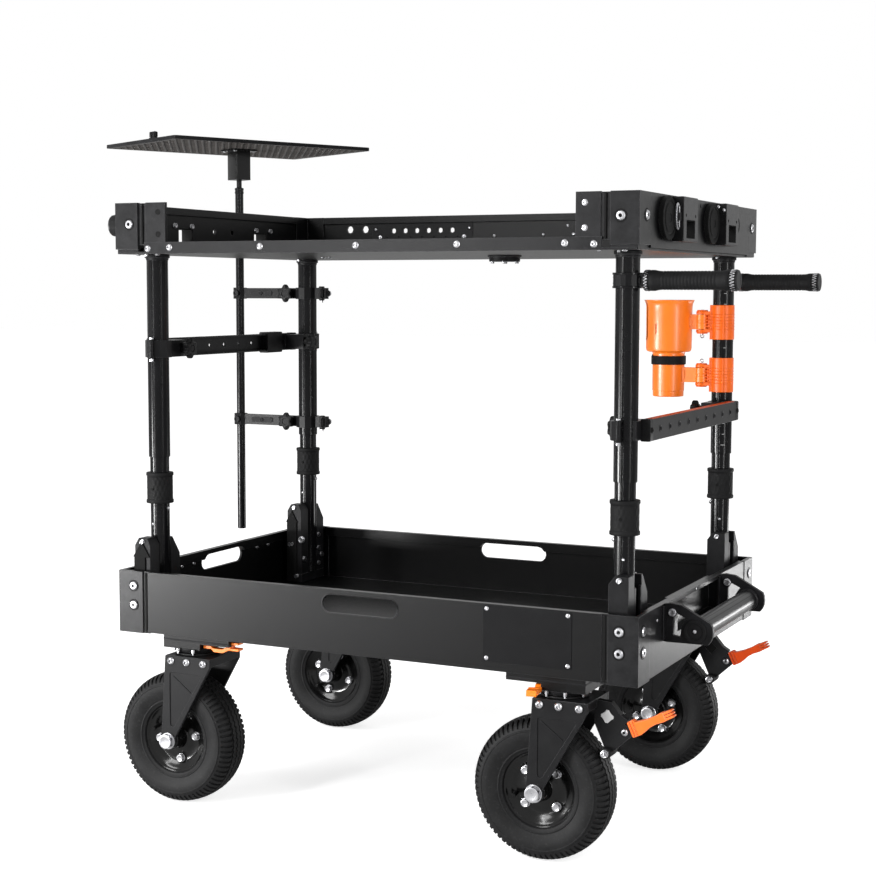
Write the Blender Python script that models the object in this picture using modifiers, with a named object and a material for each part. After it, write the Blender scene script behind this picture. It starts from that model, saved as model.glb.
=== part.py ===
# Workstation cart for film and camera crews: a rolling tray base, four
# telescoping posts, a raised deck and the fittings clamped to the posts.
# Metres, +Z up, +X along the cart towards the push handles, -Y towards the
# working side. Sizes are set out from the middle of the tray, and the whole
# cart is then moved so that the origin lies under the middle of its footprint.

import math

import bmesh
import bpy
from mathutils import Matrix, Vector

for leftover in list(bpy.data.objects):
    bpy.data.objects.remove(leftover, do_unlink=True)

# Clearance kept between faces that touch on the real cart
GAP = 0.0003

# Plan of the tray, which the casters, posts and deck are set out from
TRAY_LENGTH = 1.0827
TRAY_WIDTH = 0.7224

# Wheels and casters
TYRE_RADIUS = 0.130
TYRE_WIDTH = 0.084
RIM_FLANGE_RADIUS = 0.0675
RIM_SEAT_RADIUS = 0.0620
RIM_HALF_WIDTH = 0.029
RIM_FLANGE_THICKNESS = 0.003
RIM_WALL = 0.0045
RIM_WEB_OFFSET = 0.0165
RIM_WEB_THICKNESS = 0.005
HUB_RADIUS = 0.020
AXLE_RADIUS = 0.008
AXLE_HEAD_RADIUS = 0.0125
AXLE_HEAD_HEIGHT = 0.008
WHEEL_SEGMENTS = 18
CASTER_X = TRAY_LENGTH / 2 - 0.15265
CASTER_Y = TRAY_WIDTH / 2 - 0.0473
CASTER_TRAIL = 0.0354
FORK_INNER_HALF = 0.048
FORK_PLATE = 0.005
FORK_TOP_Z = 0.301
FORK_TOP_PLATE = 0.008
FORK_FLANGE_DROP = 0.016
FORK_FRONT = 0.064
FORK_BACK = 0.040
FORK_END_RADIUS = 0.018
KINGPIN_RADIUS = 0.008
KINGPIN_RISE = 0.022
RACE_RADIUS = 0.038
MOUNT_BOTTOM_Z = 0.313
MOUNT_STEP_Z = 0.325
MOUNT_INBOARD = 0.097
MOUNT_STEP_INBOARD = 0.030
MOUNT_OUTBOARD = 0.054
MOUNT_FRONT = 0.038
MOUNT_BACK = 0.052

# Swivel lock levers
LEVER_PIVOT_IN = 0.0377
LEVER_PIVOT_OUT = 0.021
LEVER_LENGTH = 0.080
LEVER_WIDTH = 0.013
LEVER_THICKNESS = 0.006
LEVER_TIP = 0.020
LEVER_TIP_HEIGHT = 0.011
LEVER_PIN_RADIUS = 0.0035

# Wheel brakes on the two casters at the handle end
BRAKE_THICKNESS = 0.014
BRAKE_SLOT = 0.0066
BRAKE_PIVOT_X = 0.1155
BRAKE_PIVOT_Z = 0.2465
BRAKE_PIN_RADIUS = 0.004
BRAKE_END_RADIUS = 0.013
BRAKE_WINDOW = 0.018
SHOE_RADIUS = 0.009
SHOE_CLEARANCE = 0.003
SHOE_HALF_LENGTH = 0.020
PEDAL_ANGLE = 31.0
PEDAL_LENGTH = 0.098
PEDAL_WIDTH = 0.016

# Tray
TRAY_BOTTOM_Z = 0.3375
TRAY_TOP_Z = 0.4603
TRAY_SHEET = 0.004
TRAY_FLOOR = 0.004
TRAY_LIP_WIDTH = 0.012
TRAY_LIP_HEIGHT = 0.020
TRAY_CASTING_X = 0.070
TRAY_CASTING_Y = 0.060
TRAY_CASTING_WALL = 0.008
TRAY_CASTING_GROOVE = 0.014
TRAY_PROUD = 0.0015
SLOT_LENGTH = 0.158
SLOT_HEIGHT = 0.034
SLOT_Z = 0.433
POCKET_START_Y = -0.140
POCKET_END_Y = 0.118
POCKET_BOTTOM_Z = 0.395
POCKET_TOP_Z = 0.452
POCKET_DEPTH = 0.020

# Push handle on the end of the tray
PUSH_NEAR_Y = -0.219
PUSH_FAR_Y = 0.126
PUSH_PLATE = 0.008
PUSH_TUBE_RADIUS = 0.0195
PUSH_OUT = 0.0565
PUSH_Z = 0.415
PUSH_END_RADIUS = 0.033

# Posts and their brackets
POST_X = TRAY_LENGTH / 2 - 0.05175
POST_Y = TRAY_WIDTH / 2 - 0.0691
LOWER_POST_RADIUS = 0.0188
LOWER_POST_WALL = 0.0025
LOWER_POST_TOP_Z = 0.940
UPPER_POST_RADIUS = 0.0211
UPPER_POST_BOTTOM_Z = 0.682
POST_SLIDE_CLEARANCE = 0.0004
POST_SEGMENTS = 12
SOCKET_RADIUS = 0.030
SOCKET_HEIGHT = 0.006
COLLAR_RADIUS = 0.0270
COLLAR_WAIST = 0.0252
COLLAR_BOTTOM_Z = 0.590
COLLAR_TOP_Z = 0.651
BUTTON_Z = 0.580
BUTTON_RADIUS = 0.0042
BUTTON_RISE = 0.0045
BRACKET_INNER = 0.0198
BRACKET_CHEEK = 0.031
BRACKET_CHEEK_TOP = 0.009
BRACKET_SHOULDER_Z = 0.490
BRACKET_TOP_Z = 0.527
BRACKET_BASE = 0.020
BRACKET_IN = 0.011
BRACKET_OUT = 0.026
BRACKET_TAPER = 0.55
PIVOT_X = 0.0085
PIVOT_Z = 0.516
PIVOT_RADIUS = 0.005

# Deck
DECK_LENGTH = TRAY_LENGTH - 0.0125
DECK_WIDTH = TRAY_WIDTH + 0.0084
DECK_BOTTOM_Z = 1.0820
DECK_FLOOR = 0.004
DECK_PANEL_RISE = 0.0007
DECK_FOOT = 0.030
DECK_LIP_Z = 1.1045
DECK_LIP_SHEET = 0.003
DECK_TOP_Z = 1.1803
DECK_WALL = 0.006
DECK_RAIL_HEIGHT = 0.015
DECK_RAIL_WIDTH = 0.012
DECK_CASTING_BOTTOM_Z = 1.0910
DECK_CASTING_X = 0.052
DECK_CASTING_Y = 0.060
DECK_CASTING_WALL = 0.010
DECK_GROOVE = 0.019
DECK_WING = 0.044
DECK_WING_BOTTOM_Z = 1.0990
DECK_WING_SET_BACK = 0.002
DECK_BOSS_RADIUS = 0.030
DECK_BOSS_HEIGHT = 0.012
DECK_BOSS_X = 0.135
REAR_HOLES = 6
REAR_HOLE_X = -0.302
REAR_HOLE_PITCH = 0.0294
REAR_HOLE_RADIUS = 0.0065
REAR_HOLE_Z = 1.148
REAR_OVAL_X = (-0.415, -0.375)
REAR_OVAL_RADIUS = 0.0085
REAR_OVAL_Z = 1.152
END_OVAL_Y = (-0.028, 0.040)
END_OVAL_RADIUS = 0.006
END_OVAL_Z = 1.136

# Receiver boxes on the deck ends
LATCHES = {"right": (-0.150, 0.115), "left": (-0.135, 0.154)}
LATCH_WIDTH = 0.084
LATCH_DEPTH = 0.020
LATCH_BOTTOM_Z = 1.100
LATCH_TOP_Z = 1.1785
LATCH_HOLE_WIDTH = 0.050
LATCH_HOLE_HEIGHT = 0.033
LATCH_HOLE_Z = 1.122
PUCK_RADIUS = 0.0375
PUCK_HEIGHT = 0.008
BUMPER_RADIUS = 0.021
BUMPER_HEIGHT = 0.025
BUMPER_Y = 0.335
BUMPER_Z = 1.1385
RING_WIRE = 0.002
RING_HEIGHT = 0.045
RING_REACH = 0.018
RING_Z = 1.143

# Swing-out push handles on the upper posts
HANDLE_Z = 1.031
HANDLE_CLAMP_RADIUS = 0.0255
HANDLE_CLAMP_HEIGHT = 0.026
HANDLE_ROD_RADIUS = 0.010
GRIP_START = 0.032
GRIP_LENGTH = 0.160
GRIP_RADIUS = 0.0165
GRIP_RING_RADIUS = 0.0178
GRIP_RING_LENGTH = 0.010

# Cross bars between the posts and their clamps
RIGHT_BAR_Z = 0.772
LEFT_BAR_Z = 0.897
BAR_HEIGHT = 0.038
BAR_DEPTH = 0.017
BAR_LENGTH = 0.554
BAR_WALL = 0.003
BAR_HOLES = 9
BAR_HOLE_PITCH = 0.055
BAR_HOLE_RADIUS = 0.005
CLAMP_RADIUS = 0.0275
CLAMP_HEIGHT = 0.034
CLAMP_LUG_END = 0.062
CLAMP_LUG_IN = 0.025
KNOB_Y = 0.050
KNOB_IN = 0.026
KNOB_RADIUS = 0.0200
KNOB_HEIGHT = 0.022
KNOB_LOBES = 6
KNOB_STUD = 0.004

# Pole for the laptop tray, held by two arms on the rear left post
POLE_REACH = 0.182
POLE_RADIUS = 0.0095
POLE_BOTTOM_Z = 0.452
POLE_TOP_Z = 1.2495
POLE_NECK_RADIUS = 0.006
HIGH_ARM_Z = 1.006
LOW_ARM_Z = 0.712
ARM_HEIGHT = 0.026
ARM_THICKNESS = 0.012
POLE_CLAMP_RADIUS = 0.0155
ARM_KNOB_REACH = 0.018
HEAD_SIZE = 0.040
HEAD_BOTTOM_Z = 1.2675
HEAD_KNOB_RADIUS = 0.010
LAPTOP_TRAY_Z = 1.3400
LAPTOP_TRAY_LENGTH = 0.515
LAPTOP_TRAY_WIDTH = 0.330
LAPTOP_TRAY_PLATE = 0.0025
LAPTOP_TRAY_RIM = 0.008
LAPTOP_TRAY_RIM_WIDTH = 0.004
LAPTOP_TRAY_ANGLE = 63.3

# Cup holder on the rear right post
CUP_HINGE = 0.0436
CUP_REACH = 0.0710
CUP_TOP_Z = 0.995
CUP_STEP_Z = 0.888
CUP_BOTTOM_Z = 0.7955
CUP_RIM_RADIUS = 0.0515
CUP_RADIUS = 0.0475
CUP_LOWER_RADIUS = 0.033
CUP_WALL = 0.003
CUP_SLOT_WIDTH = 0.024
CUP_SLOT_Z = 0.915
CUP_CLAMP_RADIUS = 0.0245
CUP_CLAMP_HEIGHT = 0.070
UPPER_CLAMP_Z = 0.950
LOWER_CLAMP_Z = 0.843
UPPER_KNUCKLE_Z = 0.955
LOWER_KNUCKLE_Z = 0.854
KNUCKLE_RADIUS = 0.0135
KNUCKLE_HEIGHT = 0.046
KNUCKLE_PIN = 0.003

WHEEL_Z = TYRE_RADIUS
# Turns the faceted wheels so that a flat facet faces the floor
WHEEL_PHASE = math.pi / 2 - math.pi / WHEEL_SEGMENTS
CORNERS = (("fl", -1, -1), ("fr", 1, -1), ("rl", -1, 1), ("rr", 1, 1))
FULL_TURN = 2.0 * math.pi

cart = bpy.data.collections.new("workstation_cart")
cutters = bpy.data.collections.new("cutters")
bpy.context.scene.collection.children.link(cart)
bpy.context.scene.collection.children.link(cutters)


def principled(name, colour, roughness, metallic):
    material = bpy.data.materials.new(name)
    material.use_nodes = True
    shader = material.node_tree.nodes["Principled BSDF"]
    shader.inputs["Base Color"].default_value = (*colour, 1.0)
    shader.inputs["Roughness"].default_value = roughness
    shader.inputs["Metallic"].default_value = metallic
    material.diffuse_color = (*colour, 1.0)
    return material


POWDER = principled("black_powder_coat", (0.022, 0.022, 0.024), 0.55, 0.2)
ANODISED = principled("black_anodised", (0.018, 0.018, 0.020), 0.30, 0.9)
RUBBER = principled("black_rubber", (0.020, 0.020, 0.020), 0.75, 0.0)
STEEL = principled("bright_steel", (0.72, 0.72, 0.72), 0.28, 1.0)
ORANGE = principled("orange_plastic", (0.85, 0.16, 0.02), 0.38, 0.0)
RED = principled("red_orange_plastic", (0.72, 0.08, 0.01), 0.38, 0.0)
GLOSS = principled("gloss_black_steel", (0.010, 0.010, 0.010), 0.18, 0.4)


# Shape helpers

def add(name, mesh, collection=cart):
    thing = bpy.data.objects.new(name, mesh)
    collection.objects.link(thing)
    return thing


def finish_mesh(name, work):
    mesh = bpy.data.meshes.new(name)
    bmesh.ops.recalc_face_normals(work, faces=work.faces)
    work.to_mesh(mesh)
    work.free()
    return mesh


def box(low, high, name="box"):
    """A block between two corners."""
    work = bmesh.new()
    bmesh.ops.create_cube(work, size=1.0)
    size = Vector(high) - Vector(low)
    middle = (Vector(high) + Vector(low)) / 2
    bmesh.ops.scale(work, vec=size, verts=work.verts)
    bmesh.ops.translate(work, vec=middle, verts=work.verts)
    return add(name, finish_mesh(name, work), cutters)


def mirrored_box(sx, sy, low, high, name="box"):
    """A block given for the +X +Y corner, mirrored to another corner."""
    xs = sorted((sx * low[0], sx * high[0]))
    ys = sorted((sy * low[1], sy * high[1]))
    return box((xs[0], ys[0], low[2]), (xs[1], ys[1], high[2]), name)


AXIS_TURN = {
    "z": Matrix.Identity(4),
    "x": Matrix.Rotation(math.pi / 2, 4, "Y"),
    "y": Matrix.Rotation(-math.pi / 2, 4, "X"),
}


def running_bore(radius, segments):
    """Radius of a faceted bore that a round pin of this radius turns in."""
    return (radius + GAP) / math.cos(math.pi / segments)


def rod(start, axis, length, radius, segments=12, phase=0.0, name="rod"):
    """A round bar from start along an axis letter."""
    work = bmesh.new()
    bmesh.ops.create_cone(
        work, cap_ends=True, segments=segments,
        radius1=radius, radius2=radius, depth=length)
    bmesh.ops.rotate(
        work, verts=work.verts, matrix=Matrix.Rotation(phase, 3, "Z"))
    bmesh.ops.translate(work, vec=(0, 0, length / 2), verts=work.verts)
    bmesh.ops.transform(work, matrix=AXIS_TURN[axis], verts=work.verts)
    bmesh.ops.translate(work, vec=start, verts=work.verts)
    return add(name, finish_mesh(name, work), cutters)


def solid_copy(thing, name):
    """The evaluated shape of an object as a mesh object of its own."""
    graph = bpy.context.evaluated_depsgraph_get()
    graph.update()
    mesh = bpy.data.meshes.new_from_object(thing.evaluated_get(graph))
    mesh.transform(thing.matrix_world)
    work = bmesh.new()
    work.from_mesh(mesh)
    bmesh.ops.remove_doubles(work, verts=work.verts, dist=0.000002)
    bmesh.ops.recalc_face_normals(work, faces=work.faces)
    work.to_mesh(mesh)
    work.free()
    mesh.name = name
    return add(name, mesh, cutters)


def outline(points, thickness, name="outline"):
    """A flat plate in the XY plane, from its outline, centred on Z."""
    curve = bpy.data.curves.new(name, "CURVE")
    curve.dimensions = "2D"
    curve.fill_mode = "BOTH"
    curve.extrude = thickness / 2
    spline = curve.splines.new("POLY")
    spline.points.add(len(points) - 1)
    for point, place in zip(spline.points, points):
        point.co = (place[0], place[1], 0, 1)
    spline.use_cyclic_u = True
    flat = add(name, curve, cutters)
    bpy.context.view_layer.update()
    plate = solid_copy(flat, name)
    bpy.data.objects.remove(flat, do_unlink=True)
    return plate


UPRIGHT = Matrix.Rotation(math.pi / 2, 4, "X")


def upright(points, thickness, y=0.0, name="plate"):
    """A plate in the XZ plane, its mid-plane at y."""
    plate = outline(points, thickness, name)
    plate.data.transform(Matrix.Translation((0, y, 0)) @ UPRIGHT)
    return plate


def arc(centre, radius, first, last, steps):
    """Points on an arc between two angles in degrees."""
    for step in range(steps + 1):
        angle = math.radians(first + (last - first) * step / steps)
        yield (centre[0] + radius * math.cos(angle),
               centre[1] + radius * math.sin(angle))


def turned(profile, segments, axis="z", centre=(0, 0, 0), phase=0.0, name="turned"):
    """A closed profile of (radius, height) swept round an axis."""
    mesh = bpy.data.meshes.new(name)
    count = len(profile)
    edges = [(i, (i + 1) % count) for i in range(count)]
    mesh.from_pydata([(r, 0, h) for r, h in profile], edges, [])
    sweep = add(name, mesh, cutters)
    screw = sweep.modifiers.new("Screw", "SCREW")
    screw.steps = segments
    screw.render_steps = segments
    screw.use_merge_vertices = True
    screw.merge_threshold = 0.00001
    bpy.context.view_layer.update()
    solid = solid_copy(sweep, name)
    bpy.data.objects.remove(sweep, do_unlink=True)
    place = Matrix.Translation(centre) @ AXIS_TURN[axis] @ Matrix.Rotation(phase, 4, "Z")
    solid.data.transform(place)
    return solid


def combine(base, other, operation):
    """Join or cut two mesh solids and keep the result in base."""
    step = base.modifiers.new(operation.title(), "BOOLEAN")
    step.operation = operation
    step.solver = "EXACT"
    step.object = other
    bpy.context.view_layer.update()
    result = solid_copy(base, base.name)
    bpy.data.objects.remove(base, do_unlink=True)
    bpy.data.objects.remove(other, do_unlink=True)
    return result


def join(base, *others):
    for other in others:
        base = combine(base, other, "UNION")
    return base


def cut(base, *others):
    for other in others:
        base = combine(base, other, "DIFFERENCE")
    return base


def piece(name, solid, material, origin=(0, 0, 0), smooth=35.0):
    """One named object from one solid, its origin on a joint axis."""
    work = bmesh.new()
    work.from_mesh(solid.data)
    bpy.data.objects.remove(solid, do_unlink=True)
    bmesh.ops.translate(work, vec=-Vector(origin), verts=work.verts)
    bmesh.ops.triangulate(work, faces=work.faces)
    mesh = bpy.data.meshes.new(name)
    work.to_mesh(mesh)
    work.free()
    mesh.materials.append(material)
    mesh.shade_smooth()
    mesh.set_sharp_from_angle(angle=math.radians(smooth))
    thing = add(name, mesh)
    thing.location = origin
    return thing


def tube(x, y, low, high, outer, inner, segments):
    profile = [(outer, high), (outer, low), (inner, low), (inner, high)]
    return turned(profile, segments, "z", (x, y, 0), math.pi / segments, "tube")


# Tray

def tray_wall(low, high, lip_low, lip_high, slots):
    wall = join(box(low, high), box(lip_low, lip_high))
    return cut(wall, *slots)


def long_slot(axis, centre, depth):
    """A slot with round ends, cut through a wall that faces an axis."""
    half = SLOT_LENGTH / 2 - SLOT_HEIGHT / 2
    radius = SLOT_HEIGHT / 2
    points = list(arc((half, 0), radius, -90, 90, 6))
    points += list(arc((-half, 0), radius, 90, 270, 6))
    plate = upright(points, depth, 0, "slot")
    if axis == "x":
        plate.data.transform(Matrix.Rotation(math.pi / 2, 4, "Z"))
    plate.data.transform(Matrix.Translation(centre))
    return plate


half_length = TRAY_LENGTH / 2 - TRAY_PROUD
half_width = TRAY_WIDTH / 2 - TRAY_PROUD
wall_end_x = TRAY_LENGTH / 2 - TRAY_CASTING_X + 0.002
wall_end_y = TRAY_WIDTH / 2 - TRAY_CASTING_Y + 0.002
floor_low_z = TRAY_BOTTOM_Z + 0.002
floor_top_z = floor_low_z + TRAY_FLOOR


def make_tray():
    """The pressed tray with its corner castings and caster mounting pads."""
    pan = box((-half_length + 0.001, -half_width + 0.001, floor_low_z),
              (half_length - 0.001, half_width - 0.001, floor_top_z))
    lip_z = TRAY_TOP_Z - TRAY_LIP_HEIGHT
    wall_top = TRAY_TOP_Z - 0.0006
    for side in (-1, 1):
        y_low, y_high = sorted((side * half_width, side * (half_width - TRAY_SHEET)))
        l_low, l_high = sorted((side * half_width, side * (half_width - TRAY_LIP_WIDTH)))
        slot = long_slot("y", (0, side * half_width, SLOT_Z), 0.04)
        pan = join(pan, tray_wall(
            (-wall_end_x, y_low, floor_low_z), (wall_end_x, y_high, wall_top),
            (-wall_end_x, l_low, lip_z), (wall_end_x, l_high, wall_top), [slot]))
    for side in (-1, 1):
        x_low, x_high = sorted((side * half_length, side * (half_length - TRAY_SHEET)))
        l_low, l_high = sorted((side * half_length, side * (half_length - TRAY_LIP_WIDTH)))
        end = [
            (x_low, -wall_end_y, floor_low_z), (x_high, wall_end_y, wall_top),
            (l_low, -wall_end_y, lip_z), (l_high, wall_end_y, wall_top)]
        if side < 0:
            slot = long_slot("x", (side * half_length, 0, SLOT_Z), 0.04)
            pan = join(pan, tray_wall(*end, [slot]))
        else:
            pan = join(pan, handle_end_wall(end))
    for _, sx, sy in CORNERS:
        pan = join(pan, tray_casting(sx, sy), caster_mount(sx, sy))
    return piece("tray", pan, POWDER)


def handle_end_wall(end):
    """The wall behind the push handle, with a finger pocket pressed in."""
    wall = join(box(end[0], end[1]), box(end[2], end[3]))
    back = half_length - POCKET_DEPTH
    bulge = box(
        (back - TRAY_SHEET, POCKET_START_Y - TRAY_SHEET, POCKET_BOTTOM_Z - TRAY_SHEET),
        (half_length - TRAY_SHEET / 2, POCKET_END_Y + TRAY_SHEET, POCKET_TOP_Z + TRAY_SHEET))
    pocket = box((back, POCKET_START_Y, POCKET_BOTTOM_Z),
                 (half_length + 0.01, POCKET_END_Y, POCKET_TOP_Z))
    return cut(join(wall, bulge), pocket)


def tray_casting(sx, sy):
    x_out = TRAY_LENGTH / 2
    y_out = TRAY_WIDTH / 2
    x_block = x_out - TRAY_CASTING_X + TRAY_CASTING_GROOVE
    front = mirrored_box(
        sx, sy, (x_block, y_out - TRAY_CASTING_WALL, TRAY_BOTTOM_Z), (x_out, y_out, TRAY_TOP_Z))
    wing = mirrored_box(
        sx, sy, (x_out - TRAY_CASTING_X, y_out - TRAY_CASTING_WALL, TRAY_BOTTOM_Z),
        (x_block + 0.001, y_out - 0.003, TRAY_TOP_Z))
    side = mirrored_box(
        sx, sy, (x_out - TRAY_CASTING_WALL, y_out - TRAY_CASTING_Y, TRAY_BOTTOM_Z),
        (x_out, y_out - TRAY_CASTING_WALL / 2, TRAY_TOP_Z))
    return join(front, wing, side)


# Post brackets and posts

def make_bracket(tag, sx, sy):
    """A clevis that rises from the tray floor and tapers above its shoulder."""
    half = BRACKET_INNER + BRACKET_CHEEK
    slope = BRACKET_INNER + BRACKET_CHEEK_TOP
    base_z = floor_top_z + GAP
    seat_z = base_z + BRACKET_BASE
    points = [
        (-half, base_z), (half, base_z), (half, BRACKET_SHOULDER_Z), (slope, BRACKET_TOP_Z),
        (BRACKET_INNER, BRACKET_TOP_Z), (BRACKET_INNER, seat_z),
        (-BRACKET_INNER, seat_z), (-BRACKET_INNER, BRACKET_TOP_Z),
        (-slope, BRACKET_TOP_Z), (-half, BRACKET_SHOULDER_Z)]
    body = upright(points, BRACKET_IN + BRACKET_OUT, 0, "bracket")
    work = bmesh.new()
    work.from_mesh(body.data)
    bmesh.ops.bisect_plane(
        work, geom=work.verts[:] + work.edges[:] + work.faces[:],
        plane_co=(0, 0, BRACKET_SHOULDER_Z), plane_no=(0, 0, 1))
    for vert in work.verts:
        if vert.co.z > BRACKET_SHOULDER_Z + 0.001:
            vert.co.y *= BRACKET_TAPER
    work.to_mesh(body.data)
    work.free()
    centre = (sx * (POST_X + (BRACKET_OUT - BRACKET_IN) / 2), sy * POST_Y, 0)
    body.data.transform(Matrix.Translation(centre) @ Matrix.Rotation(math.pi / 2, 4, "Z"))
    start = (sx * (POST_X + PIVOT_X), sy * POST_Y - half - 0.01, PIVOT_Z)
    hole = rod(start, "y", 2 * half + 0.02, PIVOT_RADIUS + GAP, 8)
    return piece("post_bracket_" + tag, cut(body, hole), POWDER)


def make_lower_post(tag, sx, sy):
    """The inner tube with its collar and the bolt that it pivots on."""
    bottom = floor_top_z + BRACKET_BASE + 2 * GAP
    x, y = sx * POST_X, sy * POST_Y
    inner = LOWER_POST_RADIUS - LOWER_POST_WALL
    flare = 0.008
    profile = [
        (LOWER_POST_RADIUS, LOWER_POST_TOP_Z), (LOWER_POST_RADIUS, COLLAR_TOP_Z),
        (COLLAR_RADIUS, COLLAR_TOP_Z), (COLLAR_WAIST, COLLAR_TOP_Z - flare),
        (COLLAR_WAIST, COLLAR_BOTTOM_Z + flare), (COLLAR_RADIUS, COLLAR_BOTTOM_Z),
        (LOWER_POST_RADIUS, COLLAR_BOTTOM_Z), (LOWER_POST_RADIUS, bottom),
        (inner, bottom), (inner, LOWER_POST_TOP_Z)]
    post = turned(profile, POST_SEGMENTS, "z", (x, y, 0), math.pi / POST_SEGMENTS)
    button = rod((x, y, BUTTON_Z), "x", 0.04, BUTTON_RADIUS + GAP, 8)
    if sx > 0:
        button.data.transform(Matrix.Translation((-0.04, 0, 0)))
    reach = BRACKET_INNER + BRACKET_CHEEK_TOP + 0.006
    bolt = rod((sx * (POST_X + PIVOT_X), y - reach, PIVOT_Z), "y", 2 * reach, PIVOT_RADIUS, 8)
    return piece("lower_post_" + tag, join(cut(post, button), bolt), ANODISED)


def make_button(tag, sx, sy):
    """A spring button whose domed end stands out of the post, inboard."""
    inner = LOWER_POST_RADIUS - LOWER_POST_WALL - GAP
    start = inner - 0.009
    flange = 0.0062
    profile = [
        (BUTTON_RADIUS * 0.5, LOWER_POST_RADIUS + BUTTON_RISE),
        (BUTTON_RADIUS, LOWER_POST_RADIUS + BUTTON_RISE - 0.0025),
        (BUTTON_RADIUS, inner - 0.003), (flange, inner - 0.003), (flange, start)]
    mesh = bpy.data.meshes.new("button")
    edges = [(i, i + 1) for i in range(len(profile) + 1)]
    points = [(0, 0, profile[0][1])] + [(r, 0, h) for r, h in profile] + [(0, 0, start)]
    mesh.from_pydata(points, edges, [])
    sweep = add("button", mesh, cutters)
    screw = sweep.modifiers.new("Screw", "SCREW")
    screw.steps = 8
    screw.render_steps = 8
    screw.use_merge_vertices = True
    screw.merge_threshold = 0.00001
    bpy.context.view_layer.update()
    solid = solid_copy(sweep, "button")
    bpy.data.objects.remove(sweep, do_unlink=True)
    turn = Matrix.Rotation(-sx * math.pi / 2, 4, "Y")
    centre = (sx * POST_X, sy * POST_Y, BUTTON_Z)
    solid.data.transform(Matrix.Translation(centre) @ turn)
    return piece("snap_button_" + tag, solid, STEEL, centre)


def make_upper_post(tag, sx, sy):
    inner = LOWER_POST_RADIUS + POST_SLIDE_CLEARANCE
    top = DECK_BOTTOM_Z - GAP
    profile = [
        (SOCKET_RADIUS, top), (SOCKET_RADIUS, top - SOCKET_HEIGHT),
        (UPPER_POST_RADIUS, top - SOCKET_HEIGHT), (UPPER_POST_RADIUS, UPPER_POST_BOTTOM_Z),
        (inner, UPPER_POST_BOTTOM_Z), (inner, top)]
    centre = (sx * POST_X, sy * POST_Y, 0)
    post = turned(profile, POST_SEGMENTS, "z", centre, math.pi / POST_SEGMENTS)
    return piece("upper_post_" + tag, post, ANODISED)


# Casters

def caster_mount(sx, sy):
    """A stepped pad under the tray with the upper race and the lever pin."""
    x, y = sx * CASTER_X, sy * CASTER_Y

    def slab(inboard, outboard, low, high):
        xs = sorted((x - sx * inboard, x + sx * outboard))
        ys = sorted((y + sy * MOUNT_FRONT, y - sy * MOUNT_BACK))
        return box((xs[0], ys[0], low), (xs[1], ys[1], high))

    body = slab(MOUNT_INBOARD, MOUNT_OUTBOARD, MOUNT_STEP_Z, floor_low_z + 0.001)
    body = join(body, slab(MOUNT_STEP_INBOARD, MOUNT_OUTBOARD, MOUNT_BOTTOM_Z, MOUNT_STEP_Z + 0.001))
    race_z = FORK_TOP_Z + 0.004 + GAP
    body = join(body, rod((x, y, race_z), "z", MOUNT_BOTTOM_Z - race_z + 0.001, RACE_RADIUS, 12))
    bore = running_bore(KINGPIN_RADIUS, 12)
    body = cut(body, rod((x, y, race_z - 0.01), "z", KINGPIN_RISE + 0.008, bore, 12))
    lever_x, lever_y = lever_pivot(sx, sy)
    pin = rod((lever_x, lever_y, lever_mid_z - LEVER_THICKNESS), "z",
              MOUNT_STEP_Z - lever_mid_z + LEVER_THICKNESS + 0.002, LEVER_PIN_RADIUS, 8)
    return join(body, pin)


lever_mid_z = (MOUNT_BOTTOM_Z + MOUNT_STEP_Z) / 2


def lever_pivot(sx, sy):
    return sx * (CASTER_X - LEVER_PIVOT_IN), sy * (CASTER_Y + LEVER_PIVOT_OUT)


LEVER_REST = {"fl": 0.0, "fr": -90.0, "rl": 0.0, "rr": 180.0}


def make_lever(tag, sx, sy):
    """A flat lever with a thumb block; it points along +X before it is turned."""
    half = LEVER_WIDTH / 2
    points = list(arc((0, 0), half, 90, 270, 6))
    arm_end = LEVER_LENGTH - LEVER_TIP + 0.002
    points += [(arm_end, -half), (arm_end, half)]
    arm = outline(points, LEVER_THICKNESS)
    tip_half = LEVER_TIP / 2
    tip = box((LEVER_LENGTH - LEVER_TIP, -tip_half, -LEVER_TIP_HEIGHT / 2),
              (LEVER_LENGTH, tip_half, LEVER_TIP_HEIGHT / 2))
    notch = box((LEVER_LENGTH - 0.006, -0.004, -0.02), (LEVER_LENGTH + 0.01, 0.004, 0.02))
    bore = running_bore(LEVER_PIN_RADIUS, 8)
    lever = cut(join(arm, tip), notch, rod((0, 0, -0.02), "z", 0.04, bore, 8))
    pivot = Vector((*lever_pivot(sx, sy), lever_mid_z))
    turn = Matrix.Rotation(math.radians(LEVER_REST[tag]), 4, "Z")
    lever.data.transform(Matrix.Translation(pivot) @ turn)
    return piece("lock_lever_" + tag, lever, ORANGE, pivot)


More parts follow.
